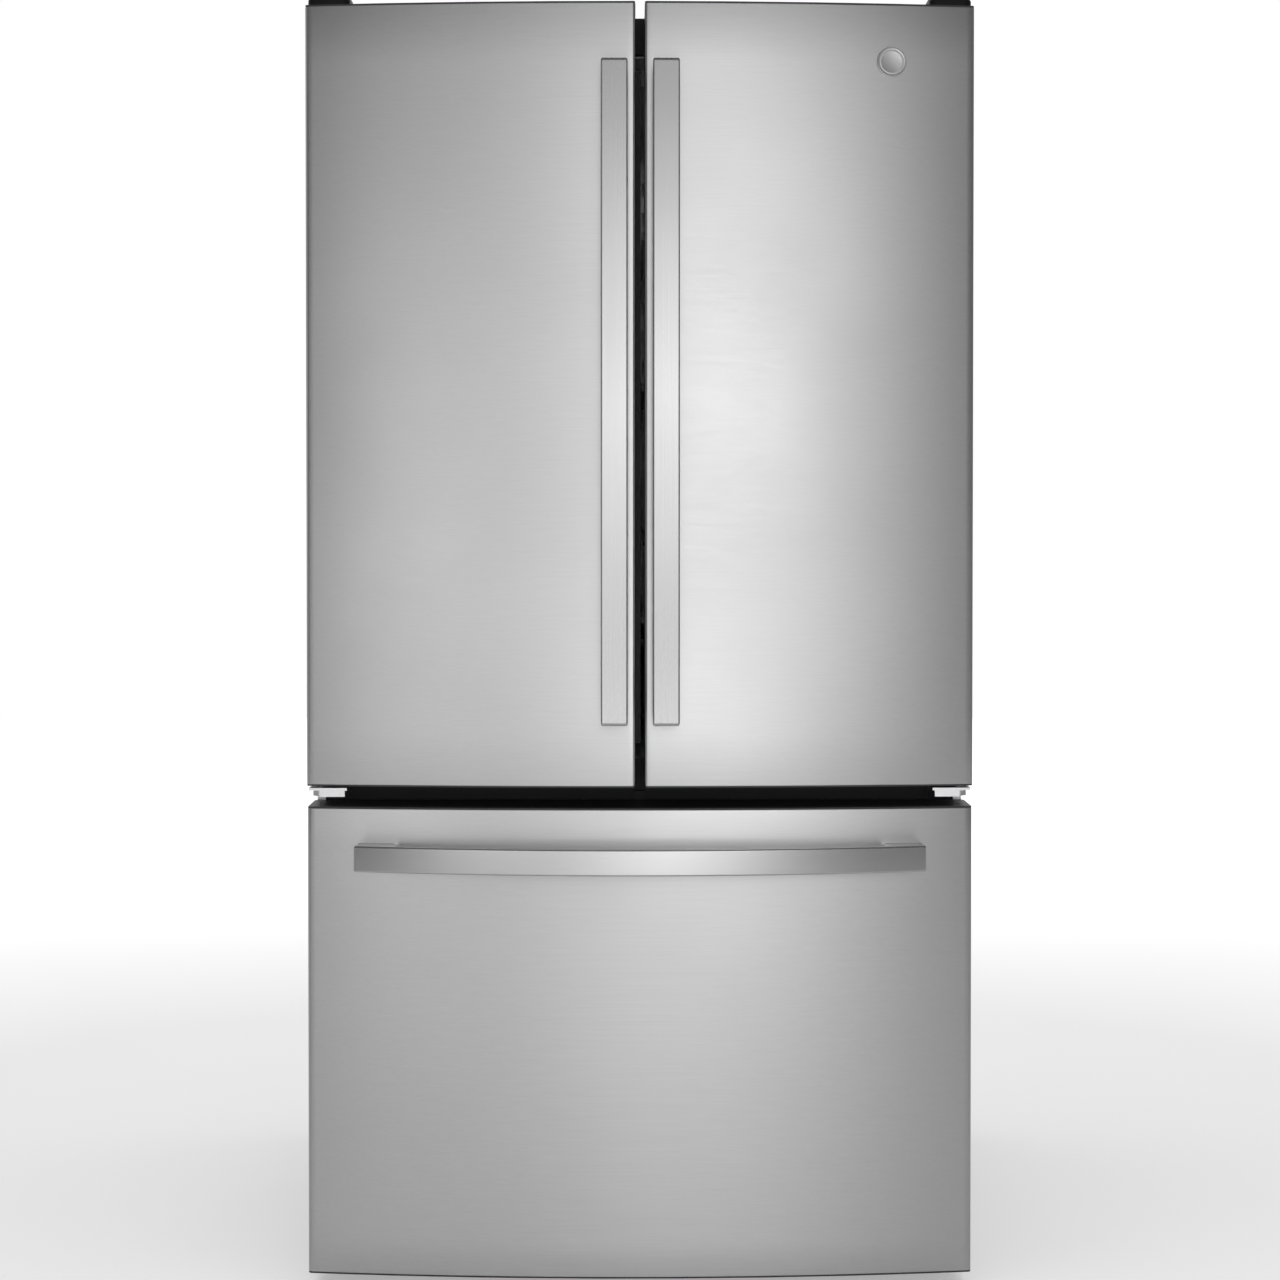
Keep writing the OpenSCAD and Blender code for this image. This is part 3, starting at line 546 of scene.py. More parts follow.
def normals_of(P):
    out = []
    for i in range(len(P)):
        a, b = P[max(i - 1, 0)], P[min(i + 1, len(P) - 1)]
        t = Vector((b[0] - a[0], b[1] - a[1])).normalized()
        out.append((-t.y, t.x))       # points into the wrap, away from the outside
    return out


def skin(name, x0, x1, r0, r1, z0, z1, body, node, t=1.2, hem=1.1):
    P = wrap_line(x0, x1, r0, r1)
    Nn = normals_of(P)
    rows = []
    for k in range(5):
        a = math.radians(90.0 * k / 4)
        rows.append((z0 + hem * (1 - math.cos(a)), hem * (1 - math.sin(a)) * 0.9))
    steps = 14
    for k in range(1, steps):
        rows.append((z0 + hem + (z1 - z0 - 2 * hem) * k / steps, 0.0))
    for k in range(5):
        a = math.radians(90.0 * k / 4)
        rows.append((z1 - hem * (1 - math.sin(a)), hem * (1 - math.cos(a)) * 0.9))
    b = Build()
    n = len(P)
    outer = [[(p[0] + q[0] * d, p[1] + q[1] * d, z) for p, q in zip(P, Nn)] for z, d in rows]
    inner = [[(p[0] + q[0] * t, p[1] + q[1] * t, z) for p, q in zip(P, Nn)] for z, d in rows]
    rings = [o + i[::-1] for o, i in zip(outer, inner)]
    b.loft(rings, cap0=False, cap1=False)
    # rims at both ends
    m = len(rings)
    base = 0
    for j in (0, m - 1):
        k0 = j * 2 * n
        fs = []
        for i in range(n - 1):
            fs.append((k0 + i, k0 + i + 1, k0 + 2 * n - 2 - i, k0 + 2 * n - 1 - i))
        b.f += fs
    return b.done(name, body, "stainless", (node,), smooth=28)


skin("right_door_panel", 6.25, 454.0, 4.0, 5.5, 694.0, 1750.0, "right_door", "right_door_skin")
lskin = None


def mirrored(P):
    return [(-x, y) for x, y in reversed(P)]


_wl = wrap_line


def wrap_line_left(x0, x1, r0, r1, inset=0.0, n=72):
    return mirrored(_wl(-x1, -x0, r1, r0))


wrap_line = wrap_line_left
skin("left_door_panel", -454.0, -6.25, 5.5, 4.0, 694.0, 1750.0, "left_door", "left_door_skin")


def wrap_line_full(x0, x1, r0, r1, inset=0.0, n=120):
    right = _wl(0.0, x1, 4.0, r1)[11:]
    # drop the inner corner: keep from the crown outwards
    right = [p for p in right if p[0] > 4.5]
    left = mirrored(right)
    return left + [(0.0, BOW_C - BOW_R)] + right


wrap_line = wrap_line_full
skin("drawer_panel", -453.0, 453.0, 5.5, 5.5, 27.0, 662.0, "freezer_drawer", "drawer_skin")


# ---------------------------------------------------------------- handles
def flat_shade(ob):
    """Broad faces keep their own shading, so that the rounding shows only at the edges."""
    m = ob.modifiers.new("weighted", "WEIGHTED_NORMAL")
    m.mode = "FACE_AREA"
    m.weight = 50
    m.keep_sharp = True
    return ob


def door_handle(side):
    s = 1 if side == "right" else -1
    b = Build()
    xa, xb = sorted((16.8 * s, 52.3 * s))
    z0, z1, y0, y1 = 781.0, 1664.0, -460.5, -448.5
    # crowned bar: section in XY, rounded edges, ends rounded by shrinking rings
    ch, ce = 2.2, 3.6

    def sec(ins, z):
        pts = rrect(xa + ins, xb - ins, y0 + ins, y1 - ins, max(0.4, ch - ins * 0.6), 4)
        out = []
        for x, y in pts:
            u = (x - (xa + xb) / 2) / ((xb - xa) / 2)
            if y < (y0 + y1) / 2:
                y += 0.45 * u * u
            out.append((x, y, z))
        return out

    rings = []
    for k in range(5):
        a = math.radians(90.0 * k / 4)
        rings.append(sec(ch * (1 - math.sin(a)), z0 + ce * (1 - math.cos(a))))
    for k in range(0, 11):
        rings.append(sec(0.0, z0 + ce + 0.5 + (z1 - z0 - 2 * ce - 1.0) * k / 10))
    for k in range(5):
        a = math.radians(90.0 * k / 4)
        rings.append(sec(ch * (1 - math.cos(a)), z1 - ce * (1 - math.sin(a))))
    b.loft(rings)
    # end posts, flared into a foot where they meet the door
    pxa, pxb = sorted((19.8 * s, 49.3 * s))
    for pz0, pz1 in ((z0 + 1.2, z0 + 46.0), (z1 - 46.0, z1 - 1.2)):
        prings = []
        for y, grow in ((y1 - 0.4, -0.5), (y1 + 1.0, 0.0), (-420.0, 0.0), (-409.0, 0.2), (-404.0, 0.9), (-401.2, 2.0)):
            prings.append([(x, y, z) for x, z in rrect(pxa - grow, pxb + grow, pz0 - grow * 0.5, pz1 + grow * 0.5, 4.0, 5)])
        last = [(x, max(bow(x) + 0.4, -402.0), z) for x, _, z in prings[-1]]
        prings.append(last)
        b.loft(prings)
    return flat_shade(b.done(side + "_handle_bar", side + "_door", "handle_v_shaded", (side + "_door_handle",), smooth=40))


door_handle("left")
door_handle("right")

DH_R = (385.4 ** 2 + 42.0 ** 2) / 84.0
DH_C = -460.5 + DH_R


def drawer_handle():
    b = Build()
    z0, z1 = 581.0, 616.0
    half = math.asin(385.4 / DH_R)
    ch = 2.2
    rings = []

    def sec(theta, ins):
        out = []
        for d, z in rrect(0.0 + ins, 12.0 - ins, z0 + ins, z1 - ins, max(0.4, ch - ins * 0.6), 4):
            u = (z - (z0 + z1) / 2) / ((z1 - z0) / 2)
            if d < 6.0:
                d += 0.45 * u * u
            r = DH_R - d
            out.append((r * math.sin(theta), DH_C - r * math.cos(theta), z))
        return out

    e = ch / DH_R
    for k in range(5):
        a = math.radians(90.0 * k / 4)
        rings.append(sec(-half + e * (1 - math.cos(a)), ch * (1 - math.sin(a))))
    n = 64
    for k in range(1, n):
        rings.append(sec(-half + e + 2 * (half - e) * k / n, 0.0))
    for k in range(5):
        a = math.radians(90.0 * k / 4)
        rings.append(sec(half - e * (1 - math.sin(a)), ch * (1 - math.cos(a))))
    b.loft(rings)
    for s in (-1, 1):
        xa, xb = sorted((331.4 * s, 383.9 * s))
        prings = []
        back = [(-410.0, 0.0), (-398.0, 0.0), (-390.0, 0.3), (-386.0, 1.0), (-383.8, 2.0)]
        pts0 = rrect(xa, xb, z0 + 1.6, z1 - 1.6, 4.0, 5)
        # front ring follows the bar's own curve
        prings.append([(x, DH_C - math.sqrt((DH_R - 11.6) ** 2 - x * x), z) for x, z in pts0])
        for f in (0.35, 0.75):
            prings.append([(x, (1 - f) * (DH_C - math.sqrt((DH_R - 11.6) ** 2 - x * x)) + f * (bow(x) - 2.5), z) for x, z in pts0])
        for g, dy in ((0.25, -1.6), (0.9, -0.7), (1.8, 0.4)):
            prings.append([(x, bow(min(abs(x), 453.0)) + dy, z) for x, z in rrect(xa - g * 0.4, xb + g * 0.4, z0 + 1.6 - g * 0.4, z1 - 1.6 + g * 0.4, 4.0, 5)])
        b.loft(prings)
    return flat_shade(b.done("drawer_handle_bar", "freezer_drawer", "handle_h", ("drawer_handle",), smooth=40))


drawer_handle()

# ---------------------------------------------------------------- badge on the right door
bx = 340.0
bn = Vector((bx / BOW_R, -math.sqrt(1 - (bx / BOW_R) ** 2), 0.0))
bb = Build()
bb.lathe((bx, bow(bx) - 0.12, 1673.0), bn,
         [(0, 0), (19.6, 0.0), (20.0, 0.4), (20.0, 2.5), (19.8, 2.85), (19.4, 3.05), (18.9, 3.1), (18.5, 3.0), (18.2, 2.75), (18.0, 2.5),
          (17.6, 2.4), (15.2, 2.4), (15.0, 2.44), (14.7, 2.44), (14.5, 2.4), (0, 2.4)], 96)
bb.done("badge_disc", "right_door", "badge_metal", ("badge",), smooth=35)


# ---------------------------------------------------------------- gaskets
def gasket(name, body, node, x0, x1, z0, z1):
    b = Build()
    sec = [(0.6, -297.4), (0.6, -295.6), (2.2, -295.0), (1.6, -293.6), (3.4, -292.4), (1.6, -291.2), (3.4, -290.0), (1.4, -288.8),
           (0.4, -287.6), (0.4, -286.3), (1.2, -285.8), (17.6, -285.8), (18.4, -286.3), (18.4, -287.6), (17.2, -288.8),
           (15.4, -290.0), (17.2, -291.2), (15.4, -292.4), (17.2, -293.6), (16.6, -295.0), (21.4, -295.6), (21.4, -297.4)]
    ring_sweep(b, x0, x1, z0, z1, 9.0, sec, 6)
    return b.done(name, body, "seal", (node,), smooth=50)


gasket("left_gasket_bellows", "left_door", "left_door_gasket", -437.0, -14.0, 700.0, 1744.0)
gasket("right_gasket_bellows", "right_door", "right_door_gasket", 14.0, 437.0, 700.0, 1744.0)
gasket("drawer_gasket_bellows", "freezer_drawer", "drawer_gasket", -437.0, 437.0, 112.0, 650.0)

# ---------------------------------------------------------------- inner panels of the doors
def xz_prism(b, x0, x1, z0, z1, y0, y1, r, edge, seg=6):
    """Plate in the XZ plane with rounded corners and a rounded front (high Y) edge."""
    rings = []
    for y, d in ((y0, 0.0), (y1 - edge, 0.0), (y1 - edge * 0.3, edge * 0.3), (y1, edge)):
        rings.append([(x, y, z) for x, z in rrect(x0 + d, x1 - d, z0 + d, z1 - d, max(0.3, r - d), seg)])
    b.loft(rings)


def door_inner(side):
    s = 1 if side == "right" else -1
    b = Build()

    def xx(a, c):
        return sorted((a * s, c * s))

    xa, xb = xx(7.75, 452.5)
    xz_prism(b, xa, xb, 718.2, 1725.8, -300.0, -297.5, 3.0, 0.8)
    xa, xb = xx(56, 394)
    # the raised frame, drawn with drafted walls and soft shoulders
    sec = [(0.0, -297.7), (1.0, -290.0), (1.6, -272.0), (2.4, -267.0), (4.4, -263.6), (7.6, -262.0), (18.4, -262.0), (21.6, -263.6),
           (23.6, -267.0), (24.4, -272.0), (25.0, -290.0), (26.0, -297.7)]
    ring_sweep(b, xa, xb, 738.0, 1684.0, 27.5, sec, 9)
    # shallow ribs pressed into the panel's field
    for z in (800, 850, 900, 950, 1000):
        xa, xb = xx(120, 330)
        xz_prism(b, xa, xb, z, z + 9, -297.7, -296.2, 4.4, 1.1)
    # bosses that carry the bins
    for z in (1062, 1270, 1480):
        for p, q in ((81.9, 84.6), (361.5, 368.1)):
            xa, xb = xx(p, q)
            b.bar(xa, xb, -292, -266, z + 20, z + 70, 1.2, 3)
    if side == "left":
        for z in (800, 1210, 1620):
            for sz in (z - 19, z + 15.5):
                b.bar(-56.1, -46, -281, -276, sz, sz + 3.5, 0.8, 3)
            b.lathe((-48.5, -278.5, z - 17), (0, 0, 1), [(0, 0), (1.3, 0), (1.6, 0.3), (1.6, 33.7), (1.3, 34), (0, 34)], 20)
    return b.done(side + "_door_inner_panel", side + "_door", "liner_white", (side + "_door_liner",), smooth=38)


door_inner("left")
door_inner("right")


# ---------------------------------------------------------------- door bins
def door_bin_set(side):
    s = 1 if side == "right" else -1
    b = Build()
    x0, x1 = sorted((85.0 * s, 361.0 * s))
    y0, y1 = -297.1, -200.0
    for z in (1062.0, 1270.0, 1480.0):
        def top(y, full):
            # the wall is lower at the door side
            t = min(1.0, max(0.0, (y + 262.0) / 14.0))
            t = t * t * (3 - 2 * t)
            return z + 72.5 + (full - 72.5) * t

        def ring(d, h, follow):
            out = []
            for x, y in rrect(x0 + d, x1 - d, y0 + d, y1 - d, max(0.8, 16.0 - d), 8):
                out.append((x, y, top(y, 95.0) + h if follow else z + h))
            return out

        rings = []
        for k in range(6):
            a = math.radians(90.0 * k / 5)
            rings.append(ring(2.0 + 9.0 * (1 - math.sin(a)), 9.0 * (1 - math.cos(a)), False))
        rings.append(ring(1.2, 60.0, False))
        rings.append(ring(0.9, -4.2, True))
        for d, h in ((0.2, -3.8), (0.0, -3.2), (0.0, -1.0), (0.5, -0.2), (1.3, 0.0), (2.6, 0.0), (3.1, -0.6)):
            rings.append(ring(d, h, True))
        rings.append(ring(3.6, 60.0, False))
        for k in range(5, -1, -1):
            a = math.radians(90.0 * k / 5)
            rings.append(ring(4.4 + 7.0 * (1 - math.sin(a)), 2.6 + 7.0 * (1 - math.cos(a)), False))
        b.loft(rings)
        # ribs on the floor, drain side
        for k in range(9):
            x = x0 + 30 + k * 27
            b.bar(x, x + 3.0, -283, -214, z + 2.2, z + 3.9, 0.7, 2)
    return b.done(side + "_bin_set", side + "_door", "clear_plastic", (side + "_door_bins",), smooth=40)


door_bin_set("left")
door_bin_set("right")


# ---------------------------------------------------------------- crispers and deli drawer
def pan(name, body, node, s, zb, zt, yb, fl):
    """Clear drawer with a thick front that carries a scooped finger pull."""
    b = Build()
    x0, x1 = sorted((12.0 * s, 392.5 * s))

    def ring(d, z, extra=0.0):
        return [(x, y, z) for x, y in rrect(x0 + d, x1 - d, -118.0 + d * 0.6, yb - d, max(0.8, 15.0 - d), 7)]

    rings = []
    for k in range(6):
        a = math.radians(90.0 * k / 5)
        rings.append(ring(3.0 + 10.0 * (1 - math.sin(a)), zb + 10.0 * (1 - math.cos(a))))
    rings += [ring(1.6, zb + (fl - zb) * 0.5), ring(0.6, fl - 0.4), ring(0.3, zt - 1.2), ring(0.9, zt), ring(2.2, zt), ring(3.0, zt - 0.8),
              ring(3.6, fl - 2.0), ring(4.4, zb + (fl - zb) * 0.5)]
    for k in range(5, -1, -1):
        a = math.radians(90.0 * k / 5)
        rings.append(ring(5.8 + 8.0 * (1 - math.sin(a)), zb + 2.8 + 8.0 * (1 - math.cos(a))))
    b.loft(rings)
    # runner flanges
    fx = sorted((3.2 * s if zb < 900 else 5.9 * s, 13.0 * s))
    b.bar(fx[0], fx[1], -108, yb - 1, fl + 0.1, fl + 3.0, 1.2, 3)
    fx = sorted((391.8 * s, 399.8 * s))
    b.bar(fx[0], fx[1], -108, yb - 1, fl + 0.1, fl + 3.0, 1.2, 3)

    # front: section in YZ swept along X, scooped in the middle
    def sec(x, t, ins):
        # t 0 full thickness, 1 scooped
        yf, yn, y_b = -130.0 + ins, -130.0 + ins + (11.5) * t, -112.5
        z0, z1, zn = zb + ins, zt - ins, zt - 27.0
        pts = [(y_b, z0 + 1.5), (y_b - 1.5, z0), (yf + 5.0, z0), (yf + 1.6, z0 + 1.4), (yf, z0 + 5.0), (yf, zn - 6.0),
               (yf + (yn - yf) * 0.10, zn - 2.0), (yf + (yn - yf) * 0.35, zn + 1.0), (yf + (yn - yf) * 0.8, zn + 3.5), (yn, zn + 8.0),
               (yn, z1 - 3.0), (yn + 0.9, z1 - 0.8), (yn + 2.2, z1), (y_b - 1.0, z1), (y_b, z1 - 1.0)]
        return [(x, y, z) for y, z in pts]

    xs = [(12.0, 0, 2.4), (12.7, 0, 1.0), (14.4, 0, 0.0), (50, 0, 0), (86, 0, 0), (90, 0.06, 0), (95, 0.4, 0), (101, 0.85, 0), (106, 1, 0), (150, 1, 0),
          (202, 1, 0), (260, 1, 0), (299, 1, 0), (304, 0.85, 0), (310, 0.4, 0), (315, 0.06, 0), (319, 0, 0), (350, 0, 0), (390.1, 0, 0), (391.8, 0, 1.0), (392.5, 0, 2.4)]
    rings = [sec(x * s, t, i) for x, t, i in (xs if s > 0 else xs)]
    b.loft(rings)
    return b.done(name, body, "clear_plastic", (node,), smooth=40)


pan("left_crisper_pan", "left_crisper_bin", "left_crisper", -1, 735.0, 893.0, 380.0, 878.9)
pan("right_crisper_pan", "right_crisper_bin", "right_crisper", 1, 735.0, 893.0, 380.0, 878.9)
pan("deli_pan", "deli_bin", "deli_drawer", 1, 925.0, 1034.0, 335.0, 1016.9)


# ---------------------------------------------------------------- wire baskets
def fillet_path(pts, r, seg=5):
    """Open polyline with its inner corners rounded."""
    P = [Vector(p) for p in pts]
    out = [tuple(P[0])]
    for i in range(1, len(P) - 1):
        a, c, d = P[i - 1], P[i], P[i + 1]
        u, w = (a - c).normalized(), (d - c).normalized()
        ang = u.angle(w)
        t = r / math.tan(ang / 2)
        p0, p1 = c + u * t, c + w * t
        for k in range(seg + 1):
            f = k / seg
            out.append(tuple(p0 * (1 - f) ** 2 + c * 2 * f * (1 - f) + p1 * f * f))
    out.append(tuple(P[-1]))
    return out


def wire_basket(name, body, node, hx, y0, y1, z0, z1, flange=None, front_drop=0.0):
    b = Build()
    w, rim = 1.5, 2.6
    # rim rod, closed, and three hoops
    def loop(d, z, r, seg=8):
        pts = [(x, y, z) for x, y in rrect(-hx + d, hx - d, y0 + d, y1 - d, 22.0, 6)]
        b.tube(pts, r, seg, closed=True)

    loop(rim, z1 - rim, rim, 10)
    loop(w + 3.0, z0 + 34, w)
    loop(w + 3.0, z0 + (z1 - z0) * 0.5, w)
    loop(w + 3.0, z1 - 26, w)
    # wires that run front to back, under the load, and up both ends
    n = int((2 * hx - 60) // 25)
    for k in range(n + 1):
        x = -hx + 30 + (2 * hx - 60) * k / n
        b.tube(fillet_path([(x, y0 + w + 0.2, z1 - rim), (x, y0 + w + 0.2, z0 + w + 3.0), (x, y1 - w - 0.2, z0 + w + 3.0), (x, y1 - w - 0.2, z1 - rim)], 16.0, 4), w, 6)
    m = int((y1 - y0 - 60) // 32)
    for k in range(m + 1):
        y = y0 + 30 + (y1 - y0 - 60) * k / m
        b.tube(fillet_path([(-hx + w + 0.2, y, z1 - rim), (-hx + w + 0.2, y, z0 + w), (hx - w - 0.2, y, z0 + w), (hx - w - 0.2, y, z1 - rim)], 16.0, 4), w, 6)
    if flange:
        for s in (-1, 1):
            xa, xb = sorted((s * (hx - 3.0), s * flange))
            b.bar(xa, xb, y0 + 22, y1 - 22, z1 - 3.5, z1, 1.2, 3)
    return b.done(name, body, "basket_wire", (node,), smooth=50)


wire_basket("freezer_wire_basket", "freezer_drawer", "freezer_basket", 371.5, -261.5, 205.0, 166.0, 473.5, 386.0)
wire_basket("upper_wire_basket", "upper_freezer_basket", "upper_basket", 385.0, -260.0, 75.0, 474.0, 600.0)


# ---------------------------------------------------------------- shelf frames
def xy_ring(b, x0, x1, y0, y1, r, section, seg=5):
    cols = []
    for d, z in section:
        cols.append([(x, y, z) for x, y in rrect(x0 + d, x1 - d, y0 + d, y1 - d, max(0.3, r - d), seg)])
    n = len(cols[0])
    rings = [[cols[k][i] for k in range(len(section))] for i in range(n)]
    b.loft(rings, closed_path=True)


def shelf_rims():
    b = Build()
    for xs, zs in (((-394.0, -3.0), (1130, 1400)), ((3.0, 394.0), (1050, 1250, 1470))):
        for z in zs:
            sec = [(0.0, z - 8.0), (1.6, z - 9.6), (3.6, z - 10.0), (12.6, z - 10.0), (13.8, z - 9.0), (14.0, z - 7.5), (14.0, z - 0.6), (13.4, z),
                   (6.2, z), (6.2, z + 3.7), (5.4, z + 4.5), (1.8, z + 4.5), (0.4, z + 3.6), (0.0, z + 2.0)]
            xy_ring(b, xs[0], xs[1], -150.0, 386.0, 5.0, sec)
            # thicker front trim with a soft nose
            b.bar(xs[0] + 4.0, xs[1] - 4.0, -138.0, -132.2, z - 10.0, z - 0.2, 1.5, 3)
            for x in (xs[0], xs[1] - 3.0):
                b.bar(x, x + 3.0, 340.0, 389.8, z - 40.0, z - 9.0, 0.9, 3)
    # crisper cover: outer rim, middle bar, front trim
    z = 911.5
    sec = [(0.0, 905.0), (1.2, 903.7), (2.6, 903.3), (12.8, 903.3), (13.8, 904.4), (14.0, 905.6), (14.0, z), (6.2, z), (6.2, 915.2), (5.4, 916.0), (1.8, 916.0), (0.4, 915.0), (0.0, 913.4)]
    xy_ring(b, -394.0, 394.0, -150.0, 386.0, 5.0, sec)
    b.bar(-390.0, 390.0, -141.0, -132.2, 903.3, 911.4, 1.5, 3)
    b.bar(-12.0, 12.0, -134.0, 374.5, 903.3, 911.4, 1.2, 3)
    b.bar(-3.9, 3.9, -143.0, 380.0, 911.0, 915.9, 1.0, 3)
    return b.done("shelf_rims", "cabinet", "panel_plastic", ("shelf_frames",), smooth=40)


shelf_rims()


# ---------------------------------------------------------------- hinge covers
def covers():
    b = Build()
    for s in (-1, 1):
        x0, x1 = sorted((396.0 * s, 453.0 * s))
        rings = []
        for d, z in ((0.0, 1753.4), (0.0, 1763.0), (0.3, 1764.0), (1.0, 1764.6)):
            rings.append([(x, y, z) for x, y in rrect(x0 + d, x1 - d, -354 + d, -216 - d, 9.0, 7)])
        for k in range(7):
            a = math.radians(90.0 * k / 6)
            d = 1.6 + 5.0 * (1 - math.cos(a))
            z = 1770.0 + 5.0 * math.sin(a) - (0.0 if k else 0.0)
            rings.append([(x, y, z - max(0.0, (y + 300.0)) * 0.0) for x, y in rrect(x0 + d, x1 - d, -354 + d, -216 - d * 3.0, 9.0 - 0.3 * k, 7)])
        inner = []
        for d, z in ((8.0, 1772.6), (3.4, 1770.0), (2.4, 1753.4)):
            inner.append([(x, y, z) for x, y in rrect(x0 + d, x1 - d, -354 + d, -216 - d, 7.0, 7)])
        b.loft(rings + [[(x, y, 1774.999) for x, y in rrect(x0 + 14, x1 - 14, -340, -246, 6.0, 7)]])
        # screw in a shallow cup
        cx = (x0 + x1) / 2
        b.lathe((cx, -268.0, 1774.2), (0, 0, 1), [(0, 0.1), (2.4, 0.1), (2.9, 0.5), (4.6, 0.75), (5.2, 0.45), (5.6, 0.0), (0, -0.2)], 28)
    return b.done("hinge_cover_caps", "cabinet", "black_plastic", ("hinge_covers",), smooth=42)


covers()

# ---------------------------------------------------------------- back panel and machine cover
def back_sheet():
    b = Build()
    b.bar(-450.1, 450.1, 457.9, 459.0, 270.3, 1751.5, 0.4, 2)
    for x in (-300, -100, 100, 300):
        rings = []
        for y, d in ((458.9, 0.0), (459.15, 1.2), (459.7, 3.6), (460.0, 5.4), (460.1, 7.4)):
            rings.append([(px, y, pz) for px, pz in rrect(x - 18 + d, x + 18 - d, 330 + d, 1690 - d, 17.9 - d, 9)])
        b.loft(rings)
    # shallow hem round the edge
    ring_sweep_sec = [(1.0, 458.9), (1.6, 459.5), (6.0, 459.5), (6.8, 458.9)]
    ring_sweep(b, -449.6, 449.6, 271.0, 1751.0, 4.0, ring_sweep_sec, 4)
    return b.done("back_sheet", "cabinet", "back_steel", ("back_panel",), smooth=40)


back_sheet()


def louvres():
    """Hoods over the machine cover's slots."""
    b = Build()
    for z in (90, 150, 210):
        x = -309
        while x <= 300:
            n = 7
            rings = []
            for j in range(5):
                u = j / 4
                sec = []
                for i in range(n):
                    a = math.pi * i / (n - 1)
                    sx = 12.6 * math.cos(a)
                    hz = 4.4 + 3.4 * (1 - u)
                    bulge = math.sin(a) ** 0.8 * (1 - u) ** 0.5 if u < 1 else 0.0
                    sec.append((x + sx, 459.0 + 1.25 * bulge, z + hz + 3.6 * u * (0.4 + 0.6 * math.sin(a))))
                rings.append(sec)
            under = [[(p[0] * 1.0, p[1] - 0.35, p[2] - 0.2) for p in r] for r in rings]
            b.loft([r + w_[::-1] for r, w_ in zip(rings, under)])
            x += 32
    return b.done("machine_louvres", "cabinet", "back_steel", (), smooth=60)


louvres()

# ---------------------------------------------------------------- finishes of the CAD nodes
record = frame["record"]
slot_of = {}
for part in record["subparts"]:
    slot_of[part["node"]] = part["material_slot"]
missing = []
for n, ob in NODES.items():
    s = slot_of.get(n)
    if s is None:
        missing.append(n)
        continue
    mat = MATS.get(s)
    if mat is None:
        missing.append(n + ":" + s)
        continue
    ob.data.materials.clear()
    ob.data.materials.append(mat)
print("without finish", missing)

# rounded edges on the blocky CAD parts
ROUND = {
    "case_wrapper": 1.2, "left_door_caps": 0.6, "right_door_caps": 0.6, "drawer_caps": 0.6,
    "middle_hinges": 0.7, "control_panel": 2.0, "cross_rail": 0.5, "mullion": 0.8,
    "top_hinges": 0.7,
}
for n, w in ROUND.items():
    ob = NODES[n]
    dm = ob.modifiers.new("flats", "DECIMATE")
    dm.decimate_type = "DISSOLVE"
    dm.angle_limit = math.radians(1.0)
    bv = ob.modifiers.new("edges", "BEVEL")
    bv.width = w * MM
    bv.segments = 3
    bv.limit_method = "ANGLE"
    bv.angle_limit = math.radians(50)
    bv.harden_normals = False

# ---------------------------------------------------------------- floor, light, camera
def stage_floor():
    me = bpy.data.meshes.new("studio_floor")
    s = 9.0
    me.from_pydata([(-s, -s, 0), (s, -s, 0), (s, s, 0), (-s, s, 0)], [], [(0, 1, 2, 3)])
    ob = bpy.data.objects.new("studio_floor", me)
    scene.collection.objects.link(ob)
    m = Mat("studio_floor")
    c = m.noise(0.8, 3.0, 0.5)
    m.put(base=m.ramp(c, [(0.3, (0.86, 0.86, 0.86)), (0.7, (0.89, 0.89, 0.89))]), rough=m.span(m.noise(4.0), 0.55, 0.65), spec=0.2)
    # a little glow of its own, so that the floor stays pale without lighting the fronts from below
    lpath = m.node("ShaderNodeLightPath")
    tc = m.node("ShaderNodeTexCoord")
    vl = m.node("ShaderNodeVectorMath")
    vl.operation = "LENGTH"
    m.nt.links.new(tc.outputs["Object"], vl.inputs[0])
    far = m.span(vl.outputs["Value"], 0.36, 1.10, 1.6, 5.5)
    m.put(emit=(1.0, 1.0, 1.0), emits=m.math("MULTIPLY", lpath.outputs["Is Camera Ray"], far))
    me.materials.append(m.m)
    return ob


stage_floor()

w = bpy.data.worlds.new("studio")
scene.world = w
w.use_nodes = True
nt = w.node_tree
nt.nodes.clear()
wo = nt.nodes.new("ShaderNodeOutputWorld")
bg1 = nt.nodes.new("ShaderNodeBackground")
bg1.inputs[0].default_value = (1, 1, 1, 1)
bg1.inputs[1].default_value = 1.0
bg2 = nt.nodes.new("ShaderNodeBackground")
bg2.inputs[0].default_value = (1, 1, 1, 1)
bg2.inputs[1].default_value = 0.161
lp = nt.nodes.new("ShaderNodeLightPath")
mx = nt.nodes.new("ShaderNodeMixShader")
nt.links.new(lp.outputs["Is Camera Ray"], mx.inputs[0])
nt.links.new(bg2.outputs[0], mx.inputs[1])
nt.links.new(bg1.outputs[0], mx.inputs[2])
nt.links.new(mx.outputs[0], wo.inputs[0])


def softbox(name, loc, target, sx, sy, radiance):
    """Rectangular area light of the given surface radiance."""
    l = bpy.data.lights.new(name, "AREA")
    l.shape = "RECTANGLE"
    l.size, l.size_y = sx, sy
    l.energy = radiance * math.pi * sx * sy
    ob = bpy.data.objects.new(name, l)
    scene.collection.objects.link(ob)
    ob.location = loc
    d = Vector(target) - Vector(loc)
    ob.rotation_euler = d.to_track_quat("-Z", "Y").to_euler()
    ob.visible_camera = False
    return ob


# One large diffuser in front, lit from behind by four soft lamps: (x, z, strength, half width, half height).
PANEL_Y = -4.8
LAMPS = [(0.6, 1.5, 2.9, 1.2, 0.8), (0.2, 0.0, 3.2, 1.0, 0.45), (-1.6, 1.0, 1.8, 0.8, 0.8), (0.0, 3.3, 0.8, 1.8, 0.9)]


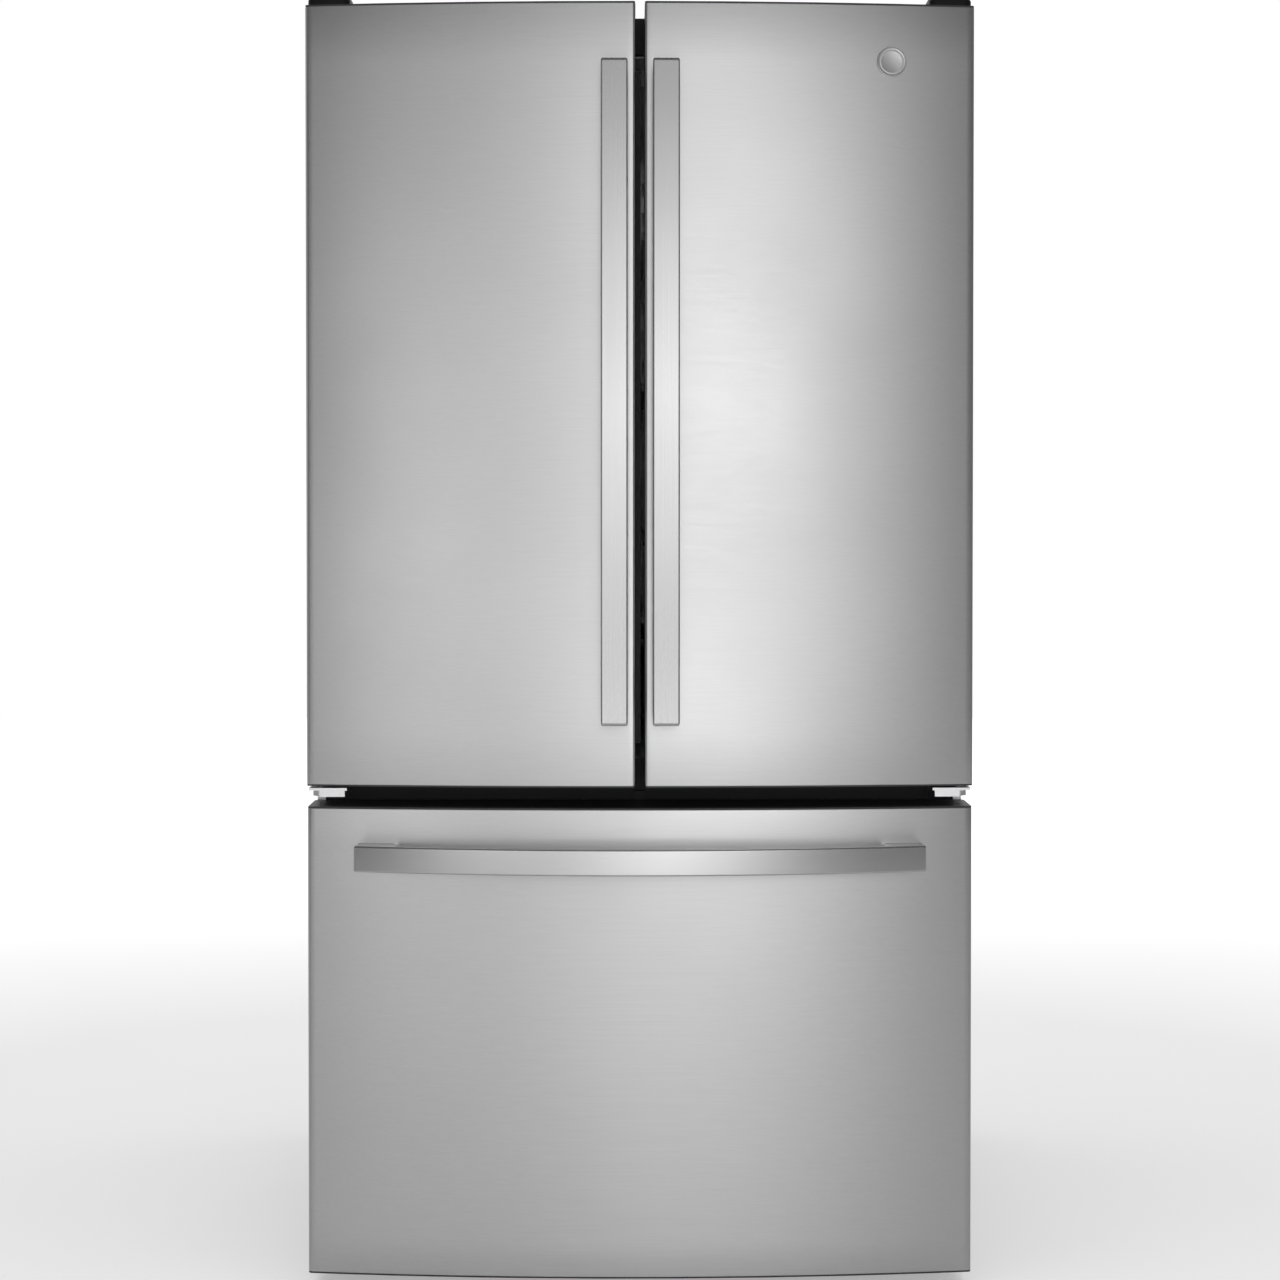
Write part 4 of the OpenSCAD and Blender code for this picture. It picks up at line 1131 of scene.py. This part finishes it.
def glow(x, z):
    return sum(g * math.exp(-((x - lx) / w) ** 2 - ((z - lz) / h) ** 2) for lx, lz, g, w, h in LAMPS)


def diffuser():
    nx, nz = 35, 20
    verts = [(-3.4 + 0.2 * i, PANEL_Y, 0.02 + 0.2 * j) for j in range(nz) for i in range(nx)]
    faces = [(j * nx + i, j * nx + i + 1, (j + 1) * nx + i + 1, (j + 1) * nx + i) for j in range(nz - 1) for i in range(nx - 1)]
    me = bpy.data.meshes.new("studio_diffuser")
    me.from_pydata(verts, [], faces)
    at = me.attributes.new("glow", "FLOAT", "POINT")
    at.data.foreach_set("value", [glow(x, z) for x, y, z in verts])
    ob = bpy.data.objects.new("studio_diffuser", me)
    scene.collection.objects.link(ob)
    m = bpy.data.materials.new("studio_diffuser")
    m.use_nodes = True
    t = m.node_tree
    t.nodes.clear()
    o = t.nodes.new("ShaderNodeOutputMaterial")
    e = t.nodes.new("ShaderNodeEmission")
    g = t.nodes.new("ShaderNodeAttribute")
    g.attribute_name = "glow"
    t.links.new(g.outputs["Fac"], e.inputs["Strength"])
    t.links.new(e.outputs[0], o.inputs["Surface"])
    me.materials.append(m)
    ob.visible_camera = False
    ob.visible_shadow = False
    return ob


diffuser()
softbox("overhead", (0.0, -0.6, 4.2), (0.0, -0.6, 0), 5.5, 5.0, 1.12).visible_glossy = False
softbox("left_fill", (-4.5, 0.3, 1.8), (0, 0, 0.9), 2.6, 2.6, 0.49)
softbox("right_fill", (4.5, 0.6, 1.8), (0, 0, 0.9), 2.6, 2.6, 0.55).visible_glossy = False
softbox("rear_fill", (0.0, 4.8, 2.0), (0, 0, 0.9), 3.5, 2.4, 1.04)

cam_d = bpy.data.cameras.new("camera")
cam = bpy.data.objects.new("camera", cam_d)
scene.collection.objects.link(cam)
cam_d.sensor_width = 36.0
cam_d.lens = 65.108
cam_d.shift_x = 0.0
cam_d.shift_y = -0.060
cam.location = (-0.0175, -3.5233, 1.0478)
cam.rotation_euler = (math.radians(90 - 0.952), 0.0, math.radians(-0.319))
cam_d.clip_start, cam_d.clip_end = 0.05, 100.0
cam_d.dof.use_dof = False
scene.camera = cam
scene.view_settings.view_transform = "Standard"
scene.view_settings.look = "None"
